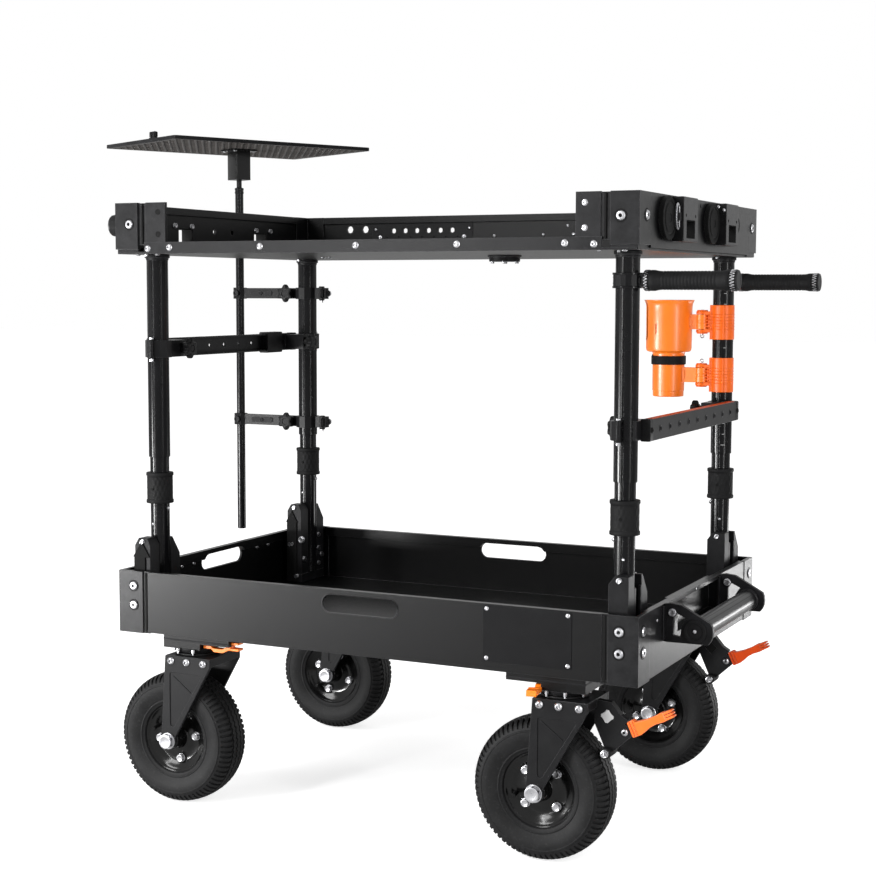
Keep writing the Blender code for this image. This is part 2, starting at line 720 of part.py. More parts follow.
def make_fork(tag, sx, sy):
    x, y = sx * CASTER_X, sy * CASTER_Y
    outer = FORK_INNER_HALF + FORK_PLATE
    axle = (-CASTER_TRAIL, WHEEL_Z)
    flange_z = FORK_TOP_Z - FORK_FLANGE_DROP
    inset = 0.0004
    leg = [(FORK_FRONT, FORK_TOP_Z - inset), (-FORK_BACK, FORK_TOP_Z - inset)]
    leg += list(arc(axle, FORK_END_RADIUS, 150, 385, 8))
    leg += [(FORK_FRONT, flange_z)]
    half = outer - inset
    fork = box((-FORK_BACK + inset, -half, FORK_TOP_Z - FORK_TOP_PLATE),
               (FORK_FRONT - 2 * inset, half, FORK_TOP_Z))
    fork = join(fork, box((FORK_FRONT - FORK_PLATE, -half + inset, flange_z + inset),
                          (FORK_FRONT - inset, half - inset, FORK_TOP_Z - inset)))
    for side in (-1, 1):
        plate = upright(leg, FORK_PLATE, side * (FORK_INNER_HALF + FORK_PLATE / 2))
        fork = join(fork, plate)
    fork = join(fork, rod((0, 0, FORK_TOP_Z - 0.001), "z", 0.005, RACE_RADIUS - 0.002, 12))
    fork = join(fork, rod((0, 0, FORK_TOP_Z - 0.002), "z", KINGPIN_RISE - 0.002, KINGPIN_RADIUS, 8))
    if sx > 0:
        fork = join(fork, brake_arm())
    start = -outer - AXLE_HEAD_HEIGHT
    bolt = rod((axle[0], start, axle[1]), "y", -2 * start, AXLE_RADIUS, 8)
    head = rod((axle[0], start, axle[1]), "y", AXLE_HEAD_HEIGHT + 0.001, AXLE_HEAD_RADIUS, 6)
    nut = rod((axle[0], outer - 0.001, axle[1]), "y", AXLE_HEAD_HEIGHT + 0.001, AXLE_HEAD_RADIUS, 6)
    fork = join(fork, join(bolt, head, nut))
    fork.data.transform(Matrix.Translation((x, y, 0)))
    return piece("fork_" + tag, fork, POWDER, (x, y, FORK_TOP_Z))


def brake_arm():
    """The plate that reaches past the tyre and carries the shoe and pedal."""
    pivot = (BRAKE_PIVOT_X, BRAKE_PIVOT_Z)
    points = [(FORK_FRONT - 0.002, FORK_TOP_Z - 0.002), (0.090, FORK_TOP_Z - 0.004), (0.108, 0.276),
              (0.121, 0.268)]
    points += list(arc(pivot, BRAKE_END_RADIUS, 90, -50, 7))
    points += [(0.0925, 0.2075), (0.078, 0.216), (0.059, 0.258),
               (FORK_FRONT - FORK_PLATE + 0.0005, FORK_TOP_Z - FORK_FLANGE_DROP + 0.001)]
    plate = upright(points, BRAKE_THICKNESS)
    slot = box((0.102, -BRAKE_SLOT / 2, 0.2), (0.15, BRAKE_SLOT / 2, 0.262))
    window = box((-BRAKE_WINDOW / 2, -0.02, -BRAKE_WINDOW / 2), (BRAKE_WINDOW / 2, 0.02, BRAKE_WINDOW / 2))
    window.data.transform(
        Matrix.Translation((0.083, 0, 0.271)) @ Matrix.Rotation(math.radians(42), 4, "Y"))
    towards = Vector((0.094 + CASTER_TRAIL, 0, 0.214 - WHEEL_Z)).normalized()
    shoe_centre = Vector((-CASTER_TRAIL, 0, WHEEL_Z)) + towards * (
        TYRE_RADIUS + SHOE_CLEARANCE + SHOE_RADIUS)
    shoe = rod((shoe_centre.x, -SHOE_HALF_LENGTH, shoe_centre.z), "y", 2 * SHOE_HALF_LENGTH,
               SHOE_RADIUS, 12)
    pin = rod((pivot[0], -BRAKE_THICKNESS / 2 - 0.003, pivot[1]), "y",
              BRAKE_THICKNESS + 0.006, BRAKE_PIN_RADIUS, 8)
    return join(cut(plate, slot, window), shoe, pin)


def make_tyre(tag, sx, sy):
    """The tyre section; the flat under the axle touches the floor."""
    half = TYRE_WIDTH / 2
    bead = RIM_HALF_WIDTH - RIM_FLANGE_THICKNESS - GAP
    shoulder = TYRE_RADIUS - 0.010
    bulge = (TYRE_RADIUS + RIM_FLANGE_RADIUS) / 2 + 0.004
    side = [
        (TYRE_RADIUS, half * 0.35), (shoulder, half * 0.80), (bulge, half),
        (RIM_FLANGE_RADIUS + GAP, half * 0.80),
        (RIM_FLANGE_RADIUS + GAP, bead), (RIM_SEAT_RADIUS + GAP, bead)]
    profile = side[::-1] + [(r, -h) for r, h in side]
    fit = 1.0 / math.cos(math.pi / WHEEL_SEGMENTS)
    profile = [(r * fit, h) for r, h in profile]
    centre = (sx * CASTER_X - CASTER_TRAIL, sy * CASTER_Y, WHEEL_Z)
    solid = turned(profile, WHEEL_SEGMENTS, "y", centre, WHEEL_PHASE)
    return piece("tyre_" + tag, solid, RUBBER, centre, 50.0)


def make_rim(tag, sx, sy):
    """A pressed steel rim with its web towards the working side."""
    seat = RIM_SEAT_RADIUS
    inner = seat - RIM_WALL
    hub_half = FORK_INNER_HALF - 0.0008
    bore = AXLE_RADIUS + GAP
    web_out = -RIM_WEB_OFFSET - RIM_WEB_THICKNESS / 2
    web_in = -RIM_WEB_OFFSET + RIM_WEB_THICKNESS / 2
    lip = RIM_HALF_WIDTH - RIM_FLANGE_THICKNESS
    profile = [
        (RIM_FLANGE_RADIUS, RIM_HALF_WIDTH), (RIM_FLANGE_RADIUS, lip), (seat, lip), (seat, -lip),
        (RIM_FLANGE_RADIUS, -lip), (RIM_FLANGE_RADIUS, -RIM_HALF_WIDTH), (inner, -RIM_HALF_WIDTH),
        (inner, web_out), (HUB_RADIUS, web_out), (HUB_RADIUS, -hub_half), (bore, -hub_half),
        (bore, hub_half), (HUB_RADIUS, hub_half), (HUB_RADIUS, web_in), (inner, web_in),
        (inner, RIM_HALF_WIDTH)]
    centre = (sx * CASTER_X - CASTER_TRAIL, sy * CASTER_Y, WHEEL_Z)
    solid = turned(profile, WHEEL_SEGMENTS, "y", centre, WHEEL_PHASE)
    return piece("rim_" + tag, solid, GLOSS, centre)


def make_pedal(tag, sx, sy):
    """The foot lever: a tang in the slot, a cross band and a tapering arm."""
    tang = upright(list(arc((0, 0), 0.009, 60, 300, 8)) + [(0.022, -0.008), (0.022, 0.008)],
                   BRAKE_SLOT - 0.001)
    half = PEDAL_WIDTH / 2
    points = [(0.015, -0.012), (0.022, -0.013), (0.034, -0.0065), (PEDAL_LENGTH - 0.010, -0.006),
              (PEDAL_LENGTH, -0.004), (PEDAL_LENGTH, 0.004), (PEDAL_LENGTH - 0.012, 0.007),
              (0.030, 0.0065), (0.022, 0.013), (0.015, 0.012)]
    arm = upright(points, PEDAL_WIDTH)
    notch = box((PEDAL_LENGTH - 0.012, -half * 0.45, -0.02), (PEDAL_LENGTH + 0.01, half * 0.45, 0.02))
    bore = running_bore(BRAKE_PIN_RADIUS, 8)
    pedal = cut(join(tang, arm), notch, rod((0, -0.02, 0), "y", 0.04, bore, 8))
    pivot = Vector((sx * CASTER_X + BRAKE_PIVOT_X, sy * CASTER_Y, BRAKE_PIVOT_Z))
    turn = Matrix.Rotation(-math.radians(PEDAL_ANGLE), 4, "Y")
    pedal.data.transform(Matrix.Translation(pivot) @ turn)
    return piece("brake_pedal_" + tag, pedal, RED, pivot)


# Push handle on the tray end

def make_push_handle():
    """A tube between two end plates that bolt to the tray end."""
    face = half_length + GAP
    tube_x = TRAY_LENGTH / 2 + PUSH_OUT
    top_z = TRAY_TOP_Z
    low_z = PUSH_Z - 0.022
    bar = rod((tube_x, PUSH_NEAR_Y, PUSH_Z), "y", PUSH_FAR_Y - PUSH_NEAR_Y, PUSH_TUBE_RADIUS, 16)
    for y in (PUSH_NEAR_Y, PUSH_FAR_Y):
        points = [(face, top_z), (face, low_z), (face + 0.008, low_z - 0.001)]
        points += list(arc((tube_x, PUSH_Z), PUSH_END_RADIUS, -42, 28, 5))
        points += [(face + 0.032, top_z), (face + 0.012, top_z + 0.002)]
        plate = upright(points, PUSH_PLATE, y)
        window = [(face + 0.018, low_z + 0.012), (face + 0.031, low_z + 0.010),
                  (face + 0.033, PUSH_Z + 0.008), (face + 0.042, PUSH_Z + 0.022),
                  (face + 0.024, PUSH_Z + 0.030), (face + 0.018, PUSH_Z + 0.020)]
        bar = join(bar, cut(plate, upright(window, PUSH_PLATE * 3, y)))
    return piece("push_handle", bar, POWDER)


# Deck

deck_x = DECK_LENGTH / 2
deck_y = DECK_WIDTH / 2


def make_deck():
    """The deck sheet with its front lip, boss, corner castings and end bumper."""
    inner_x = deck_x - DECK_CASTING_WALL / 2
    inner_y = deck_y - DECK_CASTING_WALL / 2
    top = DECK_BOTTOM_Z + DECK_FLOOR
    deck = box((-inner_x, -inner_y, DECK_BOTTOM_Z), (inner_x, inner_y, top))
    lip_x = deck_x - DECK_CASTING_X - DECK_GROOVE + 0.004
    lip = box((-lip_x, -deck_y + 0.0005, DECK_BOTTOM_Z),
              (lip_x, -deck_y + DECK_LIP_SHEET, DECK_LIP_Z))
    deck = join(deck, box((-inner_x, -deck_y + 0.0005, DECK_BOTTOM_Z), (inner_x, -inner_y + 0.001, top)))
    boss = rod((DECK_BOSS_X, -0.010, DECK_BOTTOM_Z - DECK_BOSS_HEIGHT), "z", DECK_BOSS_HEIGHT + 0.001,
               DECK_BOSS_RADIUS, 16)
    deck = join(deck, lip, boss)
    # The floor panel stands a little above the strip that the walls stand on
    panel_x = deck_x - DECK_FOOT - 5 * GAP
    panel = box((-panel_x, -inner_y + DECK_CASTING_WALL, top - 0.001),
                (panel_x, deck_y - DECK_FOOT - 5 * GAP, top + DECK_PANEL_RISE))
    deck = join(deck, panel)
    for _, sx, sy in CORNERS:
        deck = join(deck, deck_casting(sx, sy))
    start = (-deck_x - BUMPER_HEIGHT, -BUMPER_Y, BUMPER_Z)
    deck = join(deck, rod(start, "x", BUMPER_HEIGHT + 0.001, BUMPER_RADIUS, 16))
    return piece("deck", deck, POWDER)


def deck_casting(sx, sy):
    """A corner block; a set-back foot joins it to the deck sheet."""
    wall = DECK_CASTING_WALL
    block_x = deck_x - DECK_CASTING_X
    low = DECK_CASTING_BOTTOM_Z
    foot_low = DECK_BOTTOM_Z + 0.0005
    inset = 0.003
    front = mirrored_box(sx, sy, (block_x, deck_y - wall, low), (deck_x, deck_y, DECK_TOP_Z))
    side = mirrored_box(sx, sy, (deck_x - wall, deck_y - DECK_CASTING_Y, low),
                        (deck_x, deck_y - wall / 2, DECK_TOP_Z))
    front_foot = mirrored_box(sx, sy, (block_x + 0.001, deck_y - wall + 0.001, foot_low),
                              (deck_x - inset, deck_y - inset, low + 0.001))
    side_foot = mirrored_box(sx, sy, (deck_x - wall + 0.001, deck_y - DECK_CASTING_Y + 0.001, foot_low),
                             (deck_x - inset, deck_y - wall, low + 0.001))
    body = join(front, side, front_foot, side_foot)
    if sy < 0:
        wing_x = block_x - DECK_GROOVE
        groove = mirrored_box(
            sx, sy, (wing_x, deck_y - wall + 0.0005, DECK_WING_BOTTOM_Z),
            (block_x + 0.001, deck_y - 0.004, DECK_TOP_Z - 0.001))
        wing = mirrored_box(
            sx, sy, (wing_x - DECK_WING, deck_y - wall + 0.0005, DECK_WING_BOTTOM_Z),
            (wing_x + 0.001, deck_y - DECK_WING_SET_BACK, DECK_TOP_Z))
        body = join(body, groove, wing)
    return body


def make_deck_end_wall(tag, side):
    """An end wall with its top rail, foot flange, receiver boxes and pads."""
    low_z = DECK_BOTTOM_Z + DECK_FLOOR + GAP
    end_y = deck_y - DECK_CASTING_Y - GAP
    outer = side * deck_x
    foot_top = DECK_WING_BOTTOM_Z - 0.004
    xs = sorted((outer, outer - side * DECK_WALL))
    rail = sorted((outer - side * 0.0005, outer - side * DECK_RAIL_WIDTH))
    foot = sorted((outer - side * 0.0005, outer - side * DECK_FOOT))
    wall = box((xs[0], -end_y, low_z), (xs[1], end_y, DECK_TOP_Z))
    wall = join(wall, box((rail[0], -end_y + 0.001, DECK_TOP_Z - DECK_RAIL_HEIGHT),
                          (rail[1], end_y - 0.001, DECK_TOP_Z - 0.0005)))
    wall = join(wall, box((foot[0], -end_y + 0.001, low_z + 0.0005), (foot[1], end_y - 0.001, foot_top)))
    middle = (LATCH_BOTTOM_Z + LATCH_TOP_Z) / 2
    for y in LATCHES[tag]:
        block = sorted((outer - side * 0.001, outer + side * LATCH_DEPTH))
        wall = join(wall, box((block[0], y - LATCH_WIDTH / 2, LATCH_BOTTOM_Z),
                              (block[1], y + LATCH_WIDTH / 2, LATCH_TOP_Z)))
        wall = cut(wall, latch_hole(y, outer))
        pad_y = y - LATCH_WIDTH / 2 - PUCK_RADIUS - 0.003
        start = min(outer - side * 0.001, outer + side * PUCK_HEIGHT)
        wall = join(wall, rod((start, pad_y, middle), "x", PUCK_HEIGHT + 0.001, PUCK_RADIUS, 16))
    if side < 0:
        for y in END_OVAL_Y:
            wall = cut(wall, rod((outer - 0.03, y, END_OVAL_Z), "x", 0.06, END_OVAL_RADIUS, 8))
    if side > 0:
        wall = join(wall, ring_lug(LATCHES["right"][0] - LATCH_WIDTH / 2))
    return piece("deck_end_wall_" + tag, wall, POWDER)


def latch_hole(y, outer):
    half = LATCH_HOLE_WIDTH / 2
    low = LATCH_HOLE_Z - LATCH_HOLE_HEIGHT / 2
    return box((outer - 0.05, y - half, low), (outer + 0.05, y + half, low + LATCH_HOLE_HEIGHT))


ring_x = deck_x + LATCH_DEPTH * 0.70
ring_y = LATCHES["right"][0] - LATCH_WIDTH / 2 - RING_WIRE - 0.0035


def ring_lug(face_y):
    """A small barrel on the box side that the straight leg of the ring turns in."""
    length = 0.014
    barrel = rod((ring_x, ring_y, RING_Z - length / 2), "z", length, 0.0045, 8)
    web = box((ring_x - 0.003, ring_y + 0.003, RING_Z - length / 2),
              (ring_x + 0.003, face_y + 0.001, RING_Z + length / 2))
    bore = rod((ring_x, ring_y, RING_Z - length), "z", 2 * length, running_bore(RING_WIRE, 8), 8)
    return cut(join(barrel, web), bore)


def make_tie_ring():
    half = RING_HEIGHT / 2
    curve = bpy.data.curves.new("ring", "CURVE")
    curve.dimensions = "3D"
    curve.bevel_depth = RING_WIRE
    curve.bevel_resolution = 1
    bend = RING_REACH * 0.75
    places = [(0, -half + 0.004), (0, half - 0.004)]
    places += [(-0.004 - (bend - 0.004) * math.sin(math.radians(a)) * 1.25,
                half * math.cos(math.radians(a))) for a in range(10, 180, 20)]
    spline = curve.splines.new("POLY")
    spline.points.add(len(places) - 1)
    for point, (out, up) in zip(spline.points, places):
        point.co = (0, out, up, 1)
    spline.use_cyclic_u = True
    wire = add("ring", curve, cutters)
    bpy.context.view_layer.update()
    solid = solid_copy(wire, "ring")
    bpy.data.objects.remove(wire, do_unlink=True)
    centre = (ring_x, ring_y, RING_Z)
    solid.data.transform(Matrix.Translation(centre))
    return piece("tie_ring", solid, STEEL, centre)


def make_deck_rear_wall():
    end_x = deck_x - DECK_CASTING_X - GAP
    low_z = DECK_BOTTOM_Z + DECK_FLOOR + GAP
    foot_top = DECK_WING_BOTTOM_Z - 0.004
    wall = box((-end_x, deck_y - DECK_WALL, low_z), (end_x, deck_y, DECK_TOP_Z))
    wall = join(wall, box((-end_x + 0.001, deck_y - DECK_RAIL_WIDTH, DECK_TOP_Z - DECK_RAIL_HEIGHT),
                          (end_x - 0.001, deck_y - 0.0005, DECK_TOP_Z - 0.0005)))
    wall = join(wall, box((-end_x + 0.001, deck_y - DECK_FOOT, low_z + 0.0005),
                          (end_x - 0.001, deck_y - 0.0005, foot_top)))
    holes = []
    start_y = deck_y - 2 * DECK_RAIL_WIDTH
    depth = 3 * DECK_RAIL_WIDTH
    for step in range(REAR_HOLES):
        x = REAR_HOLE_X + REAR_HOLE_PITCH * step
        holes.append(rod((x, start_y, REAR_HOLE_Z), "y", depth, REAR_HOLE_RADIUS, 6))
    for x in REAR_OVAL_X:
        holes.append(rod((x, start_y, REAR_OVAL_Z), "y", depth, REAR_OVAL_RADIUS, 8))
    return piece("deck_rear_wall", cut(wall, *holes), POWDER)


# Push handles on the upper posts

def make_top_handle(tag, sy):
    centre = (POST_X, sy * POST_Y, HANDLE_Z)
    bore = running_bore(UPPER_POST_RADIUS, 16)
    half = HANDLE_CLAMP_HEIGHT / 2
    clamp = tube(0, 0, -half, half, HANDLE_CLAMP_RADIUS, bore, 16)
    grip_end = GRIP_START + GRIP_LENGTH
    lug = box((bore + 0.001, -0.010, -0.011), (GRIP_START, 0.010, 0.011))
    shaft = rod((bore + 0.003, 0, 0), "x", grip_end - bore - 0.004, HANDLE_ROD_RADIUS, 12)
    first = rod((GRIP_START, 0, 0), "x", GRIP_RING_LENGTH, GRIP_RING_RADIUS, 12)
    last = rod((grip_end - GRIP_RING_LENGTH, 0, 0), "x", GRIP_RING_LENGTH, GRIP_RING_RADIUS, 12)
    arm = join(clamp, lug, shaft, first, last)
    low = GRIP_START + GRIP_RING_LENGTH + GAP
    high = grip_end - GRIP_RING_LENGTH - GAP
    inner = running_bore(HANDLE_ROD_RADIUS, 12)
    profile = [(GRIP_RADIUS, high), (GRIP_RADIUS, low), (inner, low), (inner, high)]
    grip = turned(profile, 12, "x", (0, 0, 0), math.pi / 12)
    for solid in (arm, grip):
        solid.data.transform(Matrix.Translation(centre))
    piece("handle_arm_" + tag, arm, ANODISED, centre)
    piece("handle_grip_" + tag, grip, RUBBER, centre)


# Cross bars, clamps and knobs

BARS = (("right", 1, RIGHT_BAR_Z), ("left", -1, LEFT_BAR_Z))
bar_inner = UPPER_POST_RADIUS + 0.0008


def make_cross_bar(tag, sx, z):
    """A drilled channel bar with a post clamp joined to each end."""
    x_in = sx * (POST_X + bar_inner)
    x_out = x_in + sx * BAR_DEPTH
    xs = sorted((x_in, x_out))
    half = BAR_LENGTH / 2
    body = box((xs[0], -half, z - BAR_HEIGHT / 2), (xs[1], half, z + BAR_HEIGHT / 2))
    hollow = sorted((x_in - sx * 0.01, x_out - sx * BAR_WALL))
    body = cut(body, box((hollow[0], -half + 0.090, z - BAR_HEIGHT / 2 + BAR_WALL),
                         (hollow[1], half - 0.090, z + BAR_HEIGHT / 2 - BAR_WALL)))
    first = -BAR_HOLE_PITCH * (BAR_HOLES - 1) / 2
    for step in range(BAR_HOLES):
        body = cut(body, rod((xs[0] - 0.02, first + step * BAR_HOLE_PITCH, z), "x", 0.06,
                             BAR_HOLE_RADIUS, 6))
    for sy in (-1, 1):
        body = join(body, bar_clamp(sx, sy, z))
    return piece("cross_bar_" + tag, body, ANODISED)


def bar_clamp(sx, sy, z):
    """A split clamp round a post; its lug carries the stud of a star knob."""
    half = CLAMP_HEIGHT / 2
    turn = math.pi / POST_SEGMENTS
    ring = rod((0, 0, -half), "z", CLAMP_HEIGHT, CLAMP_RADIUS, POST_SEGMENTS, turn)
    lug = box((-bar_inner - 0.0004, 0, -half + 0.0005), (CLAMP_LUG_IN, CLAMP_LUG_END, half - 0.0005))
    bore = rod((0, 0, -half - 0.01), "z", CLAMP_HEIGHT + 0.02, UPPER_POST_RADIUS + GAP,
               POST_SEGMENTS, turn)
    clear = box((-0.06, -0.1, -0.05), (-bar_inner - 0.001, 0.1, 0.05))
    split = box((-bar_inner - 0.002, -CLAMP_RADIUS - 0.01, -0.05), (0.003, -0.012, 0.05))
    stud_hole = rod((0, KNOB_Y, 0), "x", 0.05, running_bore(KNOB_STUD, 8), 8)
    body = cut(join(ring, lug), bore, clear, split, stud_hole)
    mirror = Matrix.Diagonal((-sx, -sy, 1, 1))
    body.data.transform(Matrix.Translation((sx * POST_X, sy * POST_Y, z)) @ mirror)
    if sx * sy < 0:
        body.data.flip_normals()
    return body


def star_knob(stud_length):
    """A lobed knob with its stud, along +Z from the seat at z = 0."""
    points = []
    for step in range(KNOB_LOBES * 3):
        angle = FULL_TURN * step / (KNOB_LOBES * 3)
        radius = KNOB_RADIUS * (0.87 + 0.13 * math.cos(KNOB_LOBES * angle))
        points.append((radius * math.cos(angle), radius * math.sin(angle)))
    head = outline(points, KNOB_HEIGHT * 0.6)
    head.data.transform(Matrix.Translation((0, 0, KNOB_HEIGHT * 0.7)))
    neck = rod((0, 0, 0), "z", KNOB_HEIGHT * 0.45, KNOB_RADIUS * 0.5, 8)
    stud = rod((0, 0, -stud_length), "z", stud_length + 0.002, KNOB_STUD, 6)
    return join(head, neck, stud)


def make_bar_knob(tag, sx, sy, z):
    stud = CLAMP_LUG_IN - 0.002
    knob = star_knob(stud)
    seat = (sx * (POST_X - CLAMP_LUG_IN - GAP), sy * (POST_Y - KNOB_Y), z)
    turn = Matrix.Rotation(-sx * math.pi / 2, 4, "Y")
    knob.data.transform(Matrix.Translation(seat) @ turn)
    return piece("bar_knob_" + tag, knob, POWDER, seat)


# Laptop pole

pole_x = -POST_X - POLE_REACH
pole_y = POST_Y
ARMS = (("upper", HIGH_ARM_Z), ("lower", LOW_ARM_Z))


def make_pole_arm(tag, z):
    """A flat arm with a split band round the post and an eye for the pole."""
    half = ARM_HEIGHT / 2
    turn = math.pi / POST_SEGMENTS
    bar = box((pole_x, pole_y - ARM_THICKNESS / 2, z - half + 0.001),
              (-POST_X - UPPER_POST_RADIUS, pole_y + ARM_THICKNESS / 2, z + half - 0.001))
    ring = rod((-POST_X, pole_y, z - half), "z", ARM_HEIGHT, CLAMP_RADIUS, POST_SEGMENTS, turn)
    lug = box((-POST_X + UPPER_POST_RADIUS, pole_y - 0.010, z - half + 0.0005),
              (-POST_X + 0.050, pole_y + 0.010, z + half - 0.0005))
    eye = rod((pole_x, pole_y, z - half), "z", ARM_HEIGHT, POLE_CLAMP_RADIUS, 12)
    body = join(bar, ring, lug, eye)
    low = z - half - 0.01
    body = cut(body, rod((-POST_X, pole_y, low), "z", ARM_HEIGHT + 0.02, UPPER_POST_RADIUS + GAP,
                         POST_SEGMENTS, turn))
    body = cut(body, rod((pole_x, pole_y, low), "z", ARM_HEIGHT + 0.02, POLE_RADIUS + GAP, 12))
    split = box((-POST_X + UPPER_POST_RADIUS - 0.004, pole_y - 0.0015, low),
                (-POST_X + 0.06, pole_y + 0.0015, z + half + 0.01))
    stud_hole = rod((arm_knob_x, pole_y - ARM_THICKNESS, z), "y", ARM_THICKNESS * 1.4,
                    running_bore(KNOB_STUD, 8), 8)
    return piece("pole_arm_" + tag, cut(body, split, stud_hole), POWDER)


arm_knob_x = -POST_X - CLAMP_RADIUS - ARM_KNOB_REACH


def make_arm_knob(tag, z):
    knob = star_knob(ARM_THICKNESS * 0.8)
    seat = (arm_knob_x, pole_y - ARM_THICKNESS / 2 - GAP, z)
    knob.data.transform(Matrix.Translation(seat) @ Matrix.Rotation(math.pi / 2, 4, "X"))
    return piece("arm_knob_" + tag, knob, POWDER, seat)


def make_pole():
    height = HEAD_BOTTOM_Z + 0.020
    shaft = rod((pole_x, pole_y, POLE_BOTTOM_Z), "z", POLE_TOP_Z - POLE_BOTTOM_Z, POLE_RADIUS, 12)
    neck = rod((pole_x, pole_y, POLE_TOP_Z - 0.001), "z", height - POLE_TOP_Z, POLE_NECK_RADIUS, 12)
    return piece("laptop_pole", join(shaft, neck), ANODISED, (pole_x, pole_y, POLE_BOTTOM_Z))


def make_laptop_tray():
    """The shallow tray on the head block that turns on the neck of the pole."""
    half = HEAD_SIZE / 2
    low = LAPTOP_TRAY_Z - LAPTOP_TRAY_PLATE
    block = box((-half, -half, HEAD_BOTTOM_Z), (half, half, low + 0.001))
    bore = rod((0, 0, HEAD_BOTTOM_Z - 0.01), "z", 0.032, running_bore(POLE_NECK_RADIUS, 12), 12)
    knob = rod((0, half - 0.001, HEAD_BOTTOM_Z + 0.015), "y", 0.014, HEAD_KNOB_RADIUS, 12)
    head = join(cut(block, bore), knob)
    half_x, half_y = LAPTOP_TRAY_LENGTH / 2, LAPTOP_TRAY_WIDTH / 2
    rim = LAPTOP_TRAY_RIM_WIDTH
    plate = box((-half_x, -half_y, low), (half_x, half_y, low + LAPTOP_TRAY_RIM))
    plate = cut(plate, box((-half_x + rim, -half_y + rim, LAPTOP_TRAY_Z),
                           (half_x - rim, half_y - rim, LAPTOP_TRAY_Z + 0.05)))
    plate = join(plate, head)
    turn = Matrix.Rotation(math.radians(LAPTOP_TRAY_ANGLE), 4, "Z")
    plate.data.transform(Matrix.Translation((pole_x, pole_y, 0)) @ turn)
    return piece("laptop_tray", plate, POWDER, (pole_x, pole_y, LAPTOP_TRAY_Z))


# Cup holder

hinge_x = POST_X - CUP_HINGE
cup_x = hinge_x - CUP_REACH
CUP_CLAMPS = (("upper", UPPER_CLAMP_Z, UPPER_KNUCKLE_Z), ("lower", LOWER_CLAMP_Z, LOWER_KNUCKLE_Z))


def make_cup_clamp(tag, z, knuckle_z):
    """A clamp round the post with a forked knuckle and its hinge pin."""
    half = CUP_CLAMP_HEIGHT / 2
    knuckle = KNUCKLE_HEIGHT / 2
    low = knuckle_z - knuckle
    turn = math.pi / POST_SEGMENTS
    shell = rod((POST_X, POST_Y, z - half), "z", CUP_CLAMP_HEIGHT, CUP_CLAMP_RADIUS, POST_SEGMENTS, turn)
    web = box((hinge_x, POST_Y - 0.011, low), (POST_X - 0.015, POST_Y + 0.011, low + KNUCKLE_HEIGHT))
    eye = rod((hinge_x, POST_Y, low - 0.0005), "z", KNUCKLE_HEIGHT + 0.001, KNUCKLE_RADIUS, 12)
    bore = rod((POST_X, POST_Y, z - half - 0.01), "z", CUP_CLAMP_HEIGHT + 0.02,
               UPPER_POST_RADIUS + GAP, POST_SEGMENTS, turn)
    window = rod((hinge_x, POST_Y, knuckle_z - knuckle / 2 - GAP), "z", knuckle + 2 * GAP,
                 KNUCKLE_RADIUS + 0.001, 16)
    pin = rod((hinge_x, POST_Y, low + 0.001), "z", KNUCKLE_HEIGHT - 0.002, KNUCKLE_PIN, 8)
    body = join(cut(join(shell, web, eye), bore, window), pin)
    return piece("cup_clamp_" + tag, body, ORANGE)


def make_cup():
    inner_low = CUP_LOWER_RADIUS - CUP_WALL
    inner = CUP_RADIUS - CUP_WALL
    floor = CUP_BOTTOM_Z + CUP_WALL
    step = CUP_STEP_Z + CUP_WALL
    rim_in = CUP_RIM_RADIUS - CUP_WALL
    flare = 0.012
    points = [
        (CUP_RIM_RADIUS, CUP_TOP_Z), (CUP_RADIUS, CUP_TOP_Z - flare), (CUP_RADIUS, CUP_STEP_Z + 0.004),
        (CUP_RADIUS - 0.004, CUP_STEP_Z), (CUP_LOWER_RADIUS, CUP_STEP_Z),
        (CUP_LOWER_RADIUS, CUP_BOTTOM_Z), (0, CUP_BOTTOM_Z)]
    back = [(0, floor), (inner_low, floor), (inner_low, step), (inner, step),
            (inner, CUP_TOP_Z - flare), (rim_in, CUP_TOP_Z)]
    mesh = bpy.data.meshes.new("cup")
    profile = points + back
    count = len(profile)
    edges = [(i, (i + 1) % count) for i in range(count) if i != len(points) - 1]
    mesh.from_pydata([(r, 0, h) for r, h in profile], edges, [])
    sweep = add("cup", mesh, cutters)
    screw = sweep.modifiers.new("Screw", "SCREW")
    screw.steps = 18
    screw.render_steps = 18
    screw.use_merge_vertices = True
    screw.merge_threshold = 0.00001
    bpy.context.view_layer.update()
    cup = solid_copy(sweep, "cup")
    bpy.data.objects.remove(sweep, do_unlink=True)
    slot = box((-CUP_RIM_RADIUS - 0.01, -CUP_SLOT_WIDTH / 2, CUP_SLOT_Z),
               (-CUP_RIM_RADIUS + 0.02, CUP_SLOT_WIDTH / 2, CUP_TOP_Z + 0.01))
    cup = cut(cup, slot)
    knuckle = KNUCKLE_HEIGHT / 4
    for z, radius in ((UPPER_KNUCKLE_Z, CUP_RADIUS), (LOWER_KNUCKLE_Z, CUP_LOWER_RADIUS)):
        start = radius - CUP_WALL / 2
        web = box((start, -0.009, z - knuckle), (CUP_REACH, 0.009, z + knuckle))
        eye = rod((CUP_REACH, 0, z - knuckle), "z", 2 * knuckle, KNUCKLE_RADIUS, 12)
        bore = running_bore(KNUCKLE_PIN, 8)
        arm = cut(join(web, eye), rod((CUP_REACH, 0, z - 0.04), "z", 0.08, bore, 8))
        cup = join(cup, arm)
    cup.data.transform(Matrix.Translation((cup_x, POST_Y, 0)))
    return piece("cup_holder", cup, ORANGE, (hinge_x, POST_Y, CUP_TOP_Z))


def stand_on_origin():
    """Bring the middle of the whole footprint over the origin."""
    bpy.context.view_layer.update()
    corners = [thing.matrix_world @ vert.co for thing in cart.objects for vert in thing.data.vertices]
    for axis in (0, 1):
        values = [corner[axis] for corner in corners]
        middle = (min(values) + max(values)) / 2
        for thing in cart.objects:
            thing.location[axis] -= middle


# Assembly

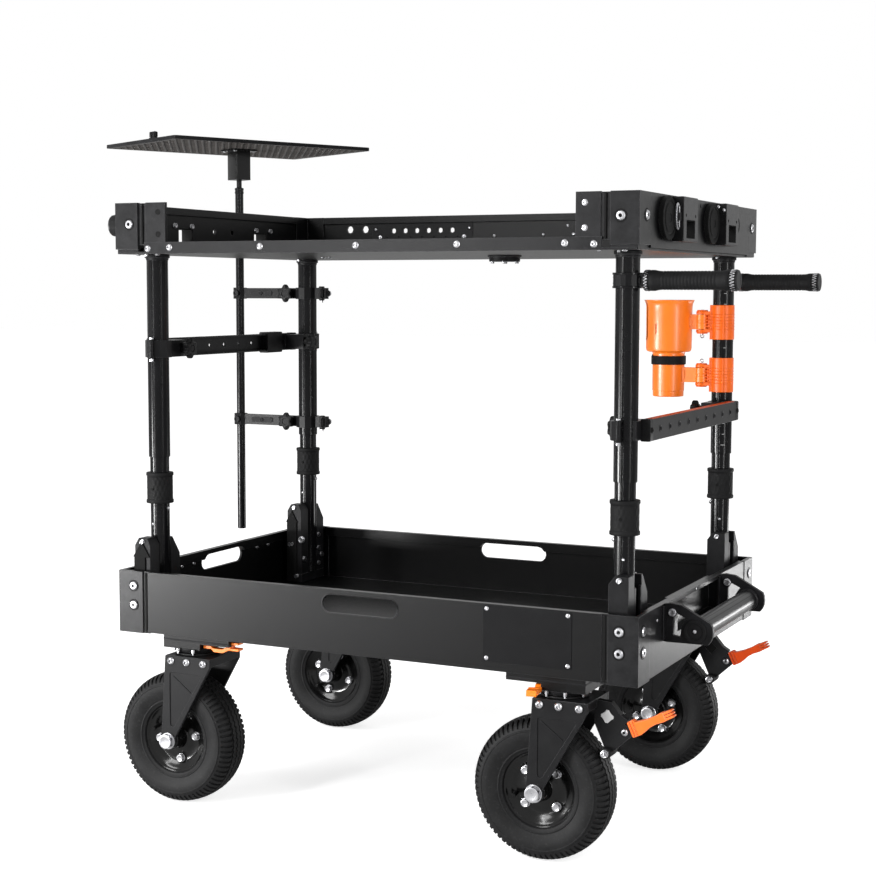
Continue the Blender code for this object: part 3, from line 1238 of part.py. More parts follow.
make_tray()
make_push_handle()
for tag, sx, sy in CORNERS:
    make_bracket(tag, sx, sy)
    make_lower_post(tag, sx, sy)
    make_button(tag, sx, sy)
    make_upper_post(tag, sx, sy)
    make_lever(tag, sx, sy)
    make_fork(tag, sx, sy)
    make_tyre(tag, sx, sy)
    make_rim(tag, sx, sy)
for tag, sy in (("fr", -1), ("rr", 1)):
    make_pedal(tag, 1, sy)
    make_top_handle(tag, sy)
make_deck()
make_deck_rear_wall()
make_deck_end_wall("right", 1)
make_deck_end_wall("left", -1)
make_tie_ring()
for tag, sx, z in BARS:
    make_cross_bar(tag, sx, z)
    for sy in (-1, 1):
        make_bar_knob(tag + ("_front" if sy < 0 else "_rear"), sx, sy, z)
for tag, z in ARMS:
    make_pole_arm(tag, z)
    make_arm_knob(tag, z)
make_pole()
make_laptop_tray()
for tag, z, knuckle_z in CUP_CLAMPS:
    make_cup_clamp(tag, z, knuckle_z)
make_cup()
stand_on_origin()
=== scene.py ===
# Workstation cart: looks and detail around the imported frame.
# Shapes are written in millimetres from the middle of the lower tray, X to the push-handle end,
# Y to the rear and Z up from the floor, and build() moves them to the solids' place, in metres.
import math

import bmesh
import bpy
from mathutils import Matrix, Vector


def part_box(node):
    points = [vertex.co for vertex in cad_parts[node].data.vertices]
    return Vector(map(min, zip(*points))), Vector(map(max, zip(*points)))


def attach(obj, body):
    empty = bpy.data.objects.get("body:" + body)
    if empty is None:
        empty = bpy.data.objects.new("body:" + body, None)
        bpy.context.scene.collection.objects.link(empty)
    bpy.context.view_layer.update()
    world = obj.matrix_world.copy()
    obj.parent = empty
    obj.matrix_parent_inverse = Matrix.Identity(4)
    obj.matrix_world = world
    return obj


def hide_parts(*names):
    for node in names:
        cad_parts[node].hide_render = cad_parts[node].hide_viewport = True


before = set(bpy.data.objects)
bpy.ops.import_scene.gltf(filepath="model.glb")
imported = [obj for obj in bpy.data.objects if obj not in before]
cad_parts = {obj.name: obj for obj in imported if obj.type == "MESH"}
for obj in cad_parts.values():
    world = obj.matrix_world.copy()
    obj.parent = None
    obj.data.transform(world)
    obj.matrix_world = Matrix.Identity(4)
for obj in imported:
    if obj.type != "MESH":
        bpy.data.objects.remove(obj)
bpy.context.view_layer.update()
scene = bpy.context.scene

tray_low, tray_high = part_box("tray")
SHIFT = Vector(((tray_low.x + tray_high.x) / 2, (tray_low.y + tray_high.y) / 2, 0))
TO_PLACE = Matrix.Translation(SHIFT) @ Matrix.Diagonal((0.001, 0.001, 0.001, 1))
X, Y, Z = Vector((1, 0, 0)), Vector((0, 1, 0)), Vector((0, 0, 1))
CORNERS = {"fl": (-1, -1), "fr": (1, -1), "rl": (-1, 1), "rr": (1, 1)}

# Swivels, the wheel's trail behind its swivel and the fork's outer face from the wheel's middle
TRAIL, WHEEL_Z, CASTER_X, CASTER_Y = 35.4, 130.0, 388.7, 313.9
FORK_FACE = 53.0
# Brake shoe and pedal bolt, along X from the swivel, and the band round the caster's pad
SHOE_X, SHOE_Z = 83.7, 207.3
PEDAL_X, PEDAL_Z = 115.5, 246.5
PAD_LOW, PAD_HIGH = 328.2, 331.8
# Posts, their brackets, the laptop pole beside the rear left post, and the cross bars' heights
POST_X, POST_Y, POST_RADIUS = 489.6, 292.1, 21.1
BRACKET_HALF = 50.8
POLE_X = -671.6
BAR_SIDES = (("right", 1, 772.0), ("left", -1, 897.0))
# Faces of the deck's walls and receiver boxes, and of the tray's sides
WALL_REAR, WALL_END, RECEIVER_FACE = 359.4, 535.1, 555.1
TRAY_SIDE, TRAY_END = 359.7, 539.85
PUSH_X, PUSH_Z = 597.85, 415.0


# Materials
# Distances from the middle, in metres: where the castings start, and the reach of the inner faces that take a
# painted shade
CASTING_STARTS, INNER_SHADE_REACH = (0.4195, 0.3035), (0.5365, 0.3598)


def material(name, colour, second, rough, rough_spread=0.12, metallic=0.0, patch=9.0,
             grain=900.0, grain_depth=0.00012, wear_and_highlight=None, wear_and_highlight_amount=0.5, edge=0.0009, stretch=(1, 1, 1),
             casting=None, below=None, inner_shade=None, dust=None, gloss=0.10):
    """A procedural surface. patch and grain are noise scales per metre, edge is the radius that
    sharp edges are rounded to, wear_and_highlight the colour that edges turn to, partly real rubbing and
    partly a painted highlight, stretch draws the grain out. casting, below and inner_shade are the colours
    of cast corners, of the underside and of inner faces, the last being a painted shade."""
    m = bpy.data.materials.new(name)
    m.use_nodes = True
    nodes, links = m.node_tree.nodes, m.node_tree.links
    shader = nodes["Principled BSDF"]
    shader.inputs["Metallic"].default_value = metallic
    shader.inputs["Specular IOR Level"].default_value = gloss

    def node(kind, **values):
        n = nodes.new(kind)
        for key, value in values.items():
            setattr(n, key, value)
        return n

    def maths(operation, a, b=None, c=None, clamp=False):
        n = node("ShaderNodeMath", operation=operation, use_clamp=clamp)
        for socket, value in zip(n.inputs, (a, b, c)):
            if value is None:
                continue
            if isinstance(value, (int, float)):
                socket.default_value = value
            else:
                links.new(value, socket)
        return n.outputs[0]

    def mixed(factor, a, b):
        n = node("ShaderNodeMix", data_type="RGBA")
        links.new(factor, n.inputs[0])
        for socket, value in ((n.inputs[6], a), (n.inputs[7], b)):
            if isinstance(value, tuple):
                socket.default_value = (*value, 1)
            else:
                links.new(value, socket)
        return n.outputs[2]

    place = node("ShaderNodeTexCoord").outputs["Object"]
    scaled = node("ShaderNodeMapping")
    scaled.inputs["Scale"].default_value = stretch
    links.new(place, scaled.inputs["Vector"])

    def clouds(scale, detail, source=place, roughness=0.6):
        n = node("ShaderNodeTexNoise")
        n.inputs["Scale"].default_value = scale
        n.inputs["Detail"].default_value = detail
        n.inputs["Roughness"].default_value = roughness
        links.new(source, n.inputs["Vector"])
        return n.outputs["Fac"]

    broad = clouds(patch, 5)
    fine = clouds(grain, 3, scaled.outputs[0])
    flecks = clouds(patch * 9, 6, scaled.outputs[0], 0.7)
    result = mixed(maths("MULTIPLY_ADD", broad, 2.4, -0.7, clamp=True), colour, second)

    position = node("ShaderNodeSeparateXYZ")
    links.new(place, position.inputs[0])

    def region(test, limits):
        """1 where the distances from the middle along X and Y both pass test against limits in metres."""
        passed = [maths(test, maths("ABSOLUTE", maths("SUBTRACT", position.outputs[k], SHIFT[k])), limits[k])
                  for k in (0, 1)]
        return maths("MULTIPLY", *passed)

    if casting:
        # The cast corners are a shade apart from the sheet between them.
        mottled = maths("MULTIPLY_ADD", clouds(38, 8, place, 0.75), 3.0, -1.05, clamp=True)
        result = mixed(region("GREATER_THAN", CASTING_STARTS), result, mixed(mottled, casting[0], casting[1]))
    facing = node("ShaderNodeNewGeometry")
    if below:
        # The underside is a warmer brown than the rest.
        down = node("ShaderNodeSeparateXYZ")
        links.new(facing.outputs["True Normal"], down.inputs[0])
        result = mixed(maths("LESS_THAN", down.outputs[2], -0.6), result, mixed(flecks, below,
                tuple(c * 0.6 for c in below)))
    if inner_shade:
        # Painted shade: faces that look into the tray and the deck are darkened, as they lie in shade.
        result = mixed(region("LESS_THAN", INNER_SHADE_REACH), result, inner_shade)
    if dust:
        result = mixed(maths("MULTIPLY_ADD", flecks, 3.2, -1.75, clamp=True), result, dust)

    rounded = node("ShaderNodeBevel", samples=4)
    rounded.inputs["Radius"].default_value = edge
    # Rounded edges turn paler: partly real rubbing, partly a painted highlight where edges catch light.
    if wear_and_highlight:
        product = node("ShaderNodeVectorMath", operation="DOT_PRODUCT")
        links.new(rounded.outputs[0], product.inputs[0])
        links.new(facing.outputs["Normal"], product.inputs[1])
        rubbed_and_lit = maths("MULTIPLY", maths("SUBTRACT", 1.0, product.outputs["Value"]), 5.0 * wear_and_highlight_amount,
                clamp=True)
        result = mixed(maths("MULTIPLY", rubbed_and_lit, maths("MULTIPLY_ADD", flecks, 1.6, clamp=True)), result, wear_and_highlight)
    links.new(result, shader.inputs["Base Color"])

    links.new(maths("MULTIPLY_ADD", flecks, rough_spread, rough - rough_spread / 2),
            shader.inputs["Roughness"])
    bump = node("ShaderNodeBump")
    bump.inputs["Strength"].default_value = 0.6
    bump.inputs["Distance"].default_value = grain_depth
    links.new(fine, bump.inputs["Height"])
    links.new(rounded.outputs[0], bump.inputs["Normal"])
    links.new(bump.outputs[0], shader.inputs["Normal"])
    return m


# The sheet's inner faces take a painted shade, and its pale edges are partly a painted highlight.
SHEET = material("sheet_black", (0.0065, 0.0065, 0.007), (0.011, 0.011, 0.0118), 0.33,
        gloss=0.15, inner_shade=(0.002, 0.002, 0.0022), wear_and_highlight=(0.13, 0.13, 0.135), wear_and_highlight_amount=0.35, edge=0.0011,
        grain=1100, casting=((0.003, 0.003, 0.0035), (0.013, 0.013, 0.014)), below=(0.034, 0.018, 0.013))
CAST = material("cast_black", (0.003, 0.003, 0.0033), (0.010, 0.010, 0.011), 0.46, patch=30,
                grain=700, grain_depth=0.0002, wear_and_highlight=(0.14, 0.14, 0.145), wear_and_highlight_amount=0.4, edge=0.0012)
TUBE = material("tube_black", (0.0025, 0.0025, 0.003), (0.005, 0.005, 0.0055), 0.19, 0.08,
                gloss=0.16, patch=14, grain=500, grain_depth=0.00003, stretch=(1, 1, 0.04), edge=0.0005)
BAR = material("bar_black", (0.004, 0.004, 0.0045), (0.008, 0.008, 0.0085), 0.36, 0.10,
               patch=20, grain=800, grain_depth=0.00006, wear_and_highlight=(0.11, 0.11, 0.115), wear_and_highlight_amount=0.3)
SATIN = material("satin_black", (0.005, 0.005, 0.0055), (0.009, 0.009, 0.0095), 0.30, 0.10,
        gloss=0.12, patch=20, grain=900, grain_depth=0.00006, wear_and_highlight=(0.12, 0.12, 0.125), wear_and_highlight_amount=0.3)
PLATE = material("plate_black", (0.005, 0.005, 0.0055), (0.009, 0.009, 0.0095), 0.42,
                 patch=25, grain=900, wear_and_highlight=(0.12, 0.12, 0.125), wear_and_highlight_amount=0.35, edge=0.0012)
GLOSS = material("gloss_black", (0.002, 0.002, 0.002), (0.004, 0.004, 0.004), 0.16, 0.08,
                 gloss=0.25, patch=22, grain=300, grain_depth=0.0001, edge=0.0012)
TYRE = material("tyre_rubber", (0.004, 0.004, 0.0042), (0.009, 0.009, 0.0093), 0.56, 0.18, patch=26,
        gloss=0.14, grain=650, grain_depth=0.0003, dust=(0.032, 0.032, 0.033), edge=0.0008)
GRIP = material("grip_rubber", (0.005, 0.005, 0.0053), (0.009, 0.009, 0.0093), 0.62, 0.14,
                patch=40, grain=1400, grain_depth=0.0002, edge=0.0006)
KNOB = material("knob_plastic", (0.004, 0.004, 0.0043), (0.008, 0.008, 0.0083), 0.44, 0.14,
                patch=45, grain=1300, grain_depth=0.00016, edge=0.0008)
STEEL = material("bright_steel", (0.50, 0.50, 0.51), (0.36, 0.36, 0.38), 0.28, 0.18,
                 metallic=1.0, patch=70, grain=900, grain_depth=0.00003, edge=0.0003)
ORANGE = material("orange_plastic", (0.93, 0.212, 0.010), (0.88, 0.185, 0.009), 0.30, 0.12,
        gloss=0.5, patch=18, grain=1200, grain_depth=0.00005, edge=0.0008)
CLAMP = material("clamp_plastic", (0.84, 0.135, 0.006), (0.76, 0.115, 0.005), 0.34, 0.12,
        gloss=0.3, patch=18, grain=1200, grain_depth=0.00005, edge=0.0008)
# Red of the bar's strip, also used on the far pedal as a painted shade of its orange coat.
RED_AND_PEDAL_SHADE = material("red_coat_and_pedal_shade", (0.60, 0.060, 0.006), (0.50, 0.048, 0.005), 0.40, 0.14,
               patch=40, grain=1100, grain_depth=0.00008, wear_and_highlight=(0.55, 0.36, 0.30), wear_and_highlight_amount=0.4)
# Near-black for dark parts. It is also painted shade where it fills bolt seats, sockets, holes, socket
# linings, grooves and the far brake square.
DARK_AND_SHADE = material("dark_and_painted_shade", (0.003, 0.003, 0.003), (0.005, 0.005, 0.005), 0.7)
MARK = material("pale_mark", (0.42, 0.42, 0.42), (0.28, 0.28, 0.28), 0.6, patch=80)
NAMEPLATE = material("nameplate_black", (0.0035, 0.0035, 0.004), (0.006, 0.006, 0.0065), 0.5,
        0.1, gloss=0.08, patch=16, grain=1500, grain_depth=0.00004, wear_and_highlight=(0.10, 0.10, 0.10), wear_and_highlight_amount=0.3)
MESH = material("perforated_plate", (0.030, 0.027, 0.025), (0.050, 0.045, 0.042), 0.44,
        gloss=0.2, patch=20, grain=1100, wear_and_highlight=(0.12, 0.12, 0.12), wear_and_highlight_amount=0.3, edge=0.0005)
PEDAL = material("orange_coat", (0.88, 0.150, 0.010), (0.78, 0.125, 0.008), 0.36, 0.14,
        gloss=0.35, patch=40, grain=1100, grain_depth=0.00008, wear_and_highlight=(0.85, 0.62, 0.50), wear_and_highlight_amount=0.5)
PALE = material("pale_face", (0.62, 0.62, 0.62), (0.54, 0.54, 0.54), 0.5, patch=60, grain=900)


# Mesh helpers
def axes(axis, hint=None):
    """Two directions square to axis, the first as near as can be to hint."""
    w = axis.normalized()
    hint = hint or (X if abs(w.z) > 0.7 else Z)
    u = (hint - w * hint.dot(w)).normalized()
    return u, w.cross(u), w


def turned(degrees, towards=Z):
    """X turned by degrees towards another axis, and the direction a quarter turn further."""
    angle = math.radians(degrees)
    return X * math.cos(angle) + towards * math.sin(angle), towards * math.cos(angle) - X * math.sin(angle)


def skin(bm, rings, closed=False):
    """Quads between rings of equal length, also from the last to the first if closed."""
    for a, b in zip(rings, rings[1:] + rings[:1]) if closed else zip(rings, rings[1:]):
        for i in range(len(a)):
            bm.faces.new((a[i - 1], a[i], b[i], b[i - 1]))


def build(name, bm, finish, body, smooth=32, bevel=0.0):
    """Makes bm, in millimetres, a piece that rides on body."""
    bmesh.ops.recalc_face_normals(bm, faces=bm.faces[:])
    bm.transform(TO_PLACE)
    mesh = bpy.data.meshes.new(name)
    bm.to_mesh(mesh)
    bm.free()
    mesh.materials.append(finish)
    mesh.polygons.foreach_set("use_smooth", [True] * len(mesh.polygons))
    mesh.set_sharp_from_angle(angle=math.radians(smooth))
    piece = bpy.data.objects.new(name, mesh)
    scene.collection.objects.link(piece)
    if bevel:
        rounding = piece.modifiers.new("rounding", "BEVEL")
        rounding.width = bevel / 1000
        rounding.segments = 2
        rounding.limit_method = "ANGLE"
        rounding.angle_limit = math.radians(40)
    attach(piece, body)
    return piece


def lathe(bm, centre, axis, profile, segments=40, closed=False):
    """Turns profile, a list of (height along axis, radius), about the axis. A third value of "hex"
    makes that ring six-sided. closed joins the last ring to the first."""
    u, v, w = axes(Vector(axis))
    centre = Vector(centre)
    rings = []
    for height, radius, *shape in profile:
        if radius < 1e-6:
            rings.append([bm.verts.new(centre + w * height)])
            continue
        ring = []
        for i in range(segments):
            angle = 2 * math.pi * i / segments
            r = radius
            if shape:
                r *= math.cos(math.pi / 6) / math.cos((angle % (math.pi / 3)) - math.pi / 6)
            ring.append(bm.verts.new(centre + w * height + (u * math.cos(angle) + v * math.sin(angle)) * r))
        rings.append(ring)
    for a, b in zip(rings, rings[1:] + rings[:1]) if closed else zip(rings, rings[1:]):
        for i in range(segments):
            j = (i + 1) % segments
            if len(a) == 1 and len(b) == 1:
                break
            corners = [a[0]] if len(a) == 1 else [a[j], a[i]]
            corners += [b[0]] if len(b) == 1 else [b[i], b[j]]
            bm.faces.new(corners)


def rod(bm, centre, axis, radius, low, high, segments=16):
    """A plain round pin between two heights along axis."""
    lathe(bm, centre, axis, [(low, 0), (low, radius), (high, radius), (high, 0)], segments)


def band(inner, outer, low, high, along, across):
    """The section of a ring whose outer edges are cut back along and across the axis."""
    return [(low, inner), (low, outer - across), (low + along, outer), (high - along, outer),
            (high, outer - across), (high, inner)]


def prism(bm, points, base, u, v, depth):
    """A plate: points (a, b) along u and v from base, and depth thick along u x v."""
    base, u, v = Vector(base), Vector(u), Vector(v)
    w = u.cross(v).normalized()
    low = [bm.verts.new(base + u * a + v * b) for a, b in points]
    high = [bm.verts.new(base + u * a + v * b + w * depth) for a, b in points]
    bm.faces.new(low[::-1])
    bm.faces.new(high)
    skin(bm, [low, high])


def block(bm, low, high):
    """A box between two corners."""
    (x0, y0, z0), (x1, y1, z1) = low, high
    prism(bm, [(0, 0), (x1 - x0, 0), (x1 - x0, y1 - y0), (0, y1 - y0)], (x0, y0, z0), X, Y, z1 - z0)


def tube(bm, path, radius, segments=12, closed=False):
    """A round bar along path."""
    path = [Vector(p) for p in path]
    rings = []
    u = None
    for i, point in enumerate(path):
        before = path[i - 1] if i or closed else point
        after = path[(i + 1) % len(path)] if i < len(path) - 1 or closed else point
        along = (after - before).normalized()
        if u is None:
            u = axes(along)[0]
        u = (u - along * u.dot(along)).normalized()
        v = along.cross(u)
        rings.append([bm.verts.new(point + (u * math.cos(t) + v * math.sin(t)) * radius)
                      for t in (2 * math.pi * k / segments for k in range(segments))])
    skin(bm, rings, closed)
    if not closed:
        bm.faces.new(rings[0][::-1])
        bm.faces.new(rings[-1])


def rounded(width, height, radius, steps=5, cx=0.0, cy=0.0):
    """The outline of a rectangle with round corners."""
    points = []
    for k, (sx, sy) in enumerate(((1, 1), (-1, 1), (-1, -1), (1, -1))):
        for i in range(steps + 1):
            t = math.pi / 2 * (k + i / steps)
            points.append((cx + sx * (width / 2 - radius) + radius * math.cos(t),
                    cy + sy * (height / 2 - radius) + radius * math.sin(t)))
    return points


def socket_screw(bm, centre, axis, radius, height=None):
    """A button-head screw with a six-sided socket, its seat at centre."""
    h = height or radius * 0.55
    r = radius
    lathe(bm, centre, axis, [(-0.6, r * 0.6), (-0.6, r * 0.97), (h * 0.15, r), (h * 0.55, r * 0.88),
            (h * 0.88, r * 0.66), (h, r * 0.47, "hex"), (h * 0.94, r * 0.42, "hex"),
            (h * 0.35, r * 0.42, "hex"), (h * 0.3, 0)], 24)


def hex_bolt(bm, centre, axis, across, height, washer=True):
    """A six-sided bolt head on a washer, its seat at centre."""
    base = 0.0
    r = across / 2 / math.cos(math.pi / 6)
    if washer:
        base = across * 0.09
        lathe(bm, centre, axis, [(-0.5, r * 0.4), (-0.5, r * 1.12), (base * 0.7, r * 1.12), (base, r * 1.06),
                (base, r * 0.4)], 28, closed=True)
    lathe(bm, centre, axis, [(-0.4, 0), (-0.4, r, "hex"), (base + height * 0.82, r, "hex"),
            (base + height * 0.95, r * 0.93), (base + height, r * 0.80), (base + height * 0.93, r * 0.62),
            (base + height * 0.93, 0)], 36)


def carry(pattern, finish):
    """Gives every shown CAD node whose name starts with pattern that finish."""
    for name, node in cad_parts.items():
        if name.startswith(pattern):
            node.data.materials.clear()
            node.data.materials.append(finish)
            for slot in node.material_slots:
                slot.material = finish


for pattern, finish in (("tray", SHEET), ("push_handle", CAST), ("post_bracket", CAST), ("lower_post", TUBE),
        ("upper_post", TUBE), ("snap_button", STEEL), ("lock_lever", ORANGE), ("fork", PLATE), ("tyre", TYRE),
        ("rim", GLOSS), ("brake_pedal", RED_AND_PEDAL_SHADE), ("handle_arm", BAR), ("handle_grip", GRIP), ("deck", SHEET),
        ("tie_ring", STEEL), ("cross_bar", BAR), ("bar_knob", KNOB), ("pole_arm", BAR), ("arm_knob", KNOB),
        ("laptop_pole", TUBE), ("laptop_tray", CAST), ("cup_clamp", ORANGE), ("cup_holder", ORANGE)):
    carry(pattern, finish)


# Wheels
LUGS, LUG_DEPTH, WAVE = 72, 3.6, 1.5
# How far each rim is turned, so that its bolts lie as in the photograph
WHEEL_TURN = {"fl": 8, "fr": 45, "rl": 70, "rr": 25}
# Half of the tyre's section from the bead up to the middle of the tread: height over the axle, half-width
# and what shapes it, "lug" for the shoulder blocks and "zig" for the wavy ribs.
TYRE_SIDE = ((62.4, 25.5, ""), (66.5, 27.0, ""), (68.0, 31.0, ""), (70.0, 33.8, ""), (74.5, 35.4, ""),
        (76.0, 36.9, ""), (77.6, 36.9, ""), (78.6, 36.0, ""), (84.0, 38.2, ""), (93.0, 40.9, ""),
        (101.0, 41.8, ""), (106.5, 41.4, ""), (107.4, 42.2, ""), (109.2, 42.0, ""), (109.8, 40.9, ""),
        (114.0, 39.2, ""), (115.0, 38.8, "lug"), (120.5, 35.6, "lug"), (125.4, 29.5, "lug"),
        (127.8, 23.0, "lug"), (128.2, 21.0, "lug"), (128.4, 19.8, "zig"), (124.8, 19.2, "zig"),
        (124.8, 16.8, "zig"), (129.0, 16.2, "zig"), (129.5, 11.0, "zig"), (129.7, 8.2, "zig"),
        (125.8, 7.6, "zig"), (125.8, 5.2, "zig"), (130.0, 4.6, "zig"), (130.0, 0.0, "zig"))


def make_tyre(tag, cx, cy):
    """A road tyre with wavy centre ribs and shoulder blocks."""
    bm = bmesh.new()
    section = [(r, y, kind) for r, y, kind in TYRE_SIDE] + [(r, -y, kind) for r, y, kind in TYRE_SIDE[-2::-1]]
    rings = []
    for lug in range(LUGS):
        for share, drop, sway in ((0.0, 0, -1), (0.55, 0, 1), (0.62, 1, 1), (0.93, 1, -1)):
            angle = 2 * math.pi * (lug + share) / LUGS
            ring = []
            for r, y, kind in section:
                radius = r - (LUG_DEPTH if kind == "lug" and drop else 0.0)
                side = y + (WAVE * sway if kind == "zig" else 0.0)
                ring.append(bm.verts.new((cx + radius * math.cos(angle), cy + side,
                        WHEEL_Z + radius * math.sin(angle))))
            rings.append(ring)
    skin(bm, rings, closed=True)
    piece = build("tyre_tread_" + tag, bm, TYRE, "wheel_" + tag, smooth=30)
    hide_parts("tyre_" + tag)


# The rim's closed section: height along the axle from the wheel's middle, and radius
RIM_SECTION = ((-29.5, 66.8), (-30.6, 68.6), (-30.2, 70.4), (-28.4, 71.0), (-26.6, 69.8), (-25.6, 66.0),
        (-24.4, 62.0), (24.4, 62.0), (25.6, 66.0), (26.6, 69.8), (28.4, 71.0), (30.2, 70.4), (30.6, 68.6),
        (29.5, 66.8), (28.0, 62.0), (25.0, 58.6), (0.0, 57.6), (-6.0, 57.0), (-11.0, 54.0), (-13.6, 49.0),
        (-14.2, 30.0), (-13.0, 24.0), (-9.0, 20.5), (46.8, 20.0), (46.8, 8.6), (-46.8, 8.6), (-46.8, 17.0),
        (-44.0, 18.6), (-27.0, 19.6), (-20.0, 22.0), (-18.6, 26.5), (-18.4, 31.0), (-17.2, 33.0),
        (-17.2, 47.0), (-18.6, 50.5), (-22.6, 54.6), (-23.2, 57.6), (-25.0, 60.0), (-25.6, 62.6),
        (-27.2, 64.2))


def make_rim(tag, cx, cy):
    """A pressed rim: rolled lip, dished web with four embossed pads, hub and bolts."""
    bm = bmesh.new()
    centre = Vector((cx, cy, WHEEL_Z))
    lathe(bm, centre, Y, RIM_SECTION, 72, closed=True)
    for k in range(4):
        out = turned(45 + 90 * k)[0]
        prism(bm, rounded(15, 25, 6.5), centre + out * 40.5 - Y * 16.6, Y.cross(out), out, -3.0)
    piece = build("rim_pressed_" + tag, bm, GLOSS, "wheel_" + tag, smooth=40, bevel=0.8)
    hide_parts("rim_" + tag)
    bm = bmesh.new()
    for k in range(4):
        seat = centre + turned(90 * k + WHEEL_TURN[tag])[0] * 42.5
        hex_bolt(bm, seat - Y * 17.2, -Y, 13.0, 7.0)
        hex_bolt(bm, seat - Y * 14.0, Y, 13.0, 6.0)
        lathe(bm, seat - Y * 8, Y, [(0, 4.0), (9, 4.0), (10, 3.2), (10, 0)], 12)
    build("rim_bolts_" + tag, bm, STEEL, "wheel_" + tag)
    bm = bmesh.new()
    out = turned(WHEEL_TURN[tag] + 152)[0]
    lathe(bm, centre + out * 52 - Y * 17, -Y - out * 0.25,
          [(0, 5.2), (5, 4.4), (8, 3.6), (17, 3.2), (17.4, 3.9), (23, 3.9), (24.5, 3.0), (24.5, 0)], 18)
    build("valve_" + tag, bm, GRIP, "wheel_" + tag)


# Casters
def pierced(bm, outline, holes, base, u, v, depth):
    """A plate with openings: outlines as points (a, b) along u and v from base, depth thick along u x v."""
    base, u, v = Vector(base), Vector(u), Vector(v)
    w = u.cross(v).normalized() * depth
    loops = []
    for shift in (Vector((0, 0, 0)), w):
        level = []
        edges = []
        for points in [outline] + list(holes):
            ring = [bm.verts.new(base + u * a + v * b + shift) for a, b in points]
            edges += [bm.edges.new((ring[i - 1], ring[i])) for i in range(len(ring))]
            level.append(ring)
        bmesh.ops.triangle_fill(bm, use_beauty=True, use_dissolve=False, edges=edges)
        loops.append(level)
    for pair in zip(*loops):
        skin(bm, pair)


def corner_arc(centre, radius, first, last, steps=6):
    """Points on an arc between two angles in degrees."""
    return [(centre[0] + radius * math.cos(math.radians(first + (last - first) * i / steps)),
            centre[1] + radius * math.sin(math.radians(first + (last - first) * i / steps)))
            for i in range(steps + 1)]


def make_caster(tag, sx, sy):
    """Stamped leg faces, bolts, swivel bearing and the brake's small parts."""
    cx, cy = sx * CASTER_X, sy * CASTER_Y
    wheel_x = cx - TRAIL
    body = "caster_" + tag
    leg = [(63.6, 300.2), (-39.6, 300.2)] + corner_arc((-TRAIL, WHEEL_Z), 17.6, 152, 385,
            14) + [(63.6, 285.4)]
    window = (corner_arc((-25.0, 263.5), 4.5, 90, 180, 4) + corner_arc((-23.6, 166.0), 6.0, 180, 327, 6)
              + corner_arc((38.0, 263.5), 4.5, -33, 90, 5))
    bm = bmesh.new()
    for side in (-1, 1):
        face = cy + side * FORK_FACE
        pierced(bm, leg, [window], (cx, face, 0), X, Z, -1.6 * side)
        # The crease that crosses the stamped recess
        start, end = Vector((-24, 0, 262)), Vector((18, 0, 231))
        along = (end - start).normalized()
        crease = [(0, -1.1), ((end - start).length, -1.1), ((end - start).length, 1.1), (0, 1.1)]
        prism(bm, crease, Vector((cx, face, 0)) + start, along, -along.cross(Y), 1.2 * side)
    build("fork_faces_" + tag, bm, PLATE, body, smooth=30, bevel=0.5)

    bm = bmesh.new()
    for side in (-1, 1):
        out = Y * side
        for x in (-26, 10, 48):
            socket_screw(bm, (cx + x, cy + side * (FORK_FACE + 1.6), 291), out, 7.8, 5.0)
        hex_bolt(bm, (wheel_x, cy + side * (FORK_FACE + 1.4), WHEEL_Z), out, 25.4, 9.0)
    build("fork_bolts_" + tag, bm, STEEL, body)

    # Both halves of the swivel's race, and the bolts that stand clear of the pad's inner edge
    lower = [(300.8, 12.0), (300.8, 42.0), (302.6, 43.0), (304.4, 42.0), (305.0, 37.0), (305.0, 12.0)]
    upper = [(305.6, 12.0), (305.6, 37.2), (306.4, 40.0), (309.0, 41.0), (313.5, 41.0), (313.5, 12.0)]
    for half, profile, rides_on in (("lower", lower, body), ("upper", upper, "base")):
        bm = bmesh.new()
        lathe(bm, (cx, cy, 0), Z, profile, 48, closed=True)
        build("race_%s_%s" % (half, tag), bm, PLATE, rides_on)
    bm = bmesh.new()
    for k in range(8):
        out = turned(22.5 + 45 * k, Y)[0] * 45.5
        if out.x * sx > -28:
            lathe(bm, Vector((cx, cy, 313.0)) + out, -Z,
                  [(-1, 0), (-1, 3.4, "hex"), (5.5, 3.4, "hex"), (5.5, 2.2), (9.5, 2.2), (9.5, 0)], 12)
    build("race_bolts_" + tag, bm, STEEL, "base")

    # The step round the mounting pad
    bm = bmesh.new()
    xs = sorted((cx - sx * 97.6, cx + sx * 54.6))
    ys = sorted((cy + sy * 38.6, cy - sy * 52.6))
    block(bm, (xs[0], ys[0], PAD_LOW), (xs[1], ys[1], PAD_HIGH))
    build("pad_band_" + tag, bm, CAST, "base", bevel=0.8)

    if sx > 0:
        bm = bmesh.new()
        for side in (-1, 1):
            out = Y * side
            socket_screw(bm, (cx + PEDAL_X, cy + side * 7.0, PEDAL_Z), out, 7.0, 4.4)
            hex_bolt(bm, (cx + SHOE_X, cy + side * 20.0, SHOE_Z), out, 11.0, 5.0)
            lathe(bm, (cx + SHOE_X, cy + side * 25.5, SHOE_Z), out, [(0, 3.0), (4.0, 3.0), (5.0, 2.2),
                    (5.0, 0)], 12)
        build("brake_bolts_" + tag, bm, STEEL, body)
        bm = bmesh.new()
        lathe(bm, (cx + SHOE_X, cy - 19.6, SHOE_Z), Y, [(0, 5), (0, 9.2), (1.5, 10.0), (37.7, 10.0),
                (39.2, 9.2), (39.2, 5)], 30, closed=True)
        build("brake_roller_" + tag, bm, GRIP, body)


for tag, (sx, sy) in CORNERS.items():
    make_tyre(tag, sx * CASTER_X - TRAIL, sy * CASTER_Y)
    make_rim(tag, sx * CASTER_X - TRAIL, sy * CASTER_Y)
    make_caster(tag, sx, sy)


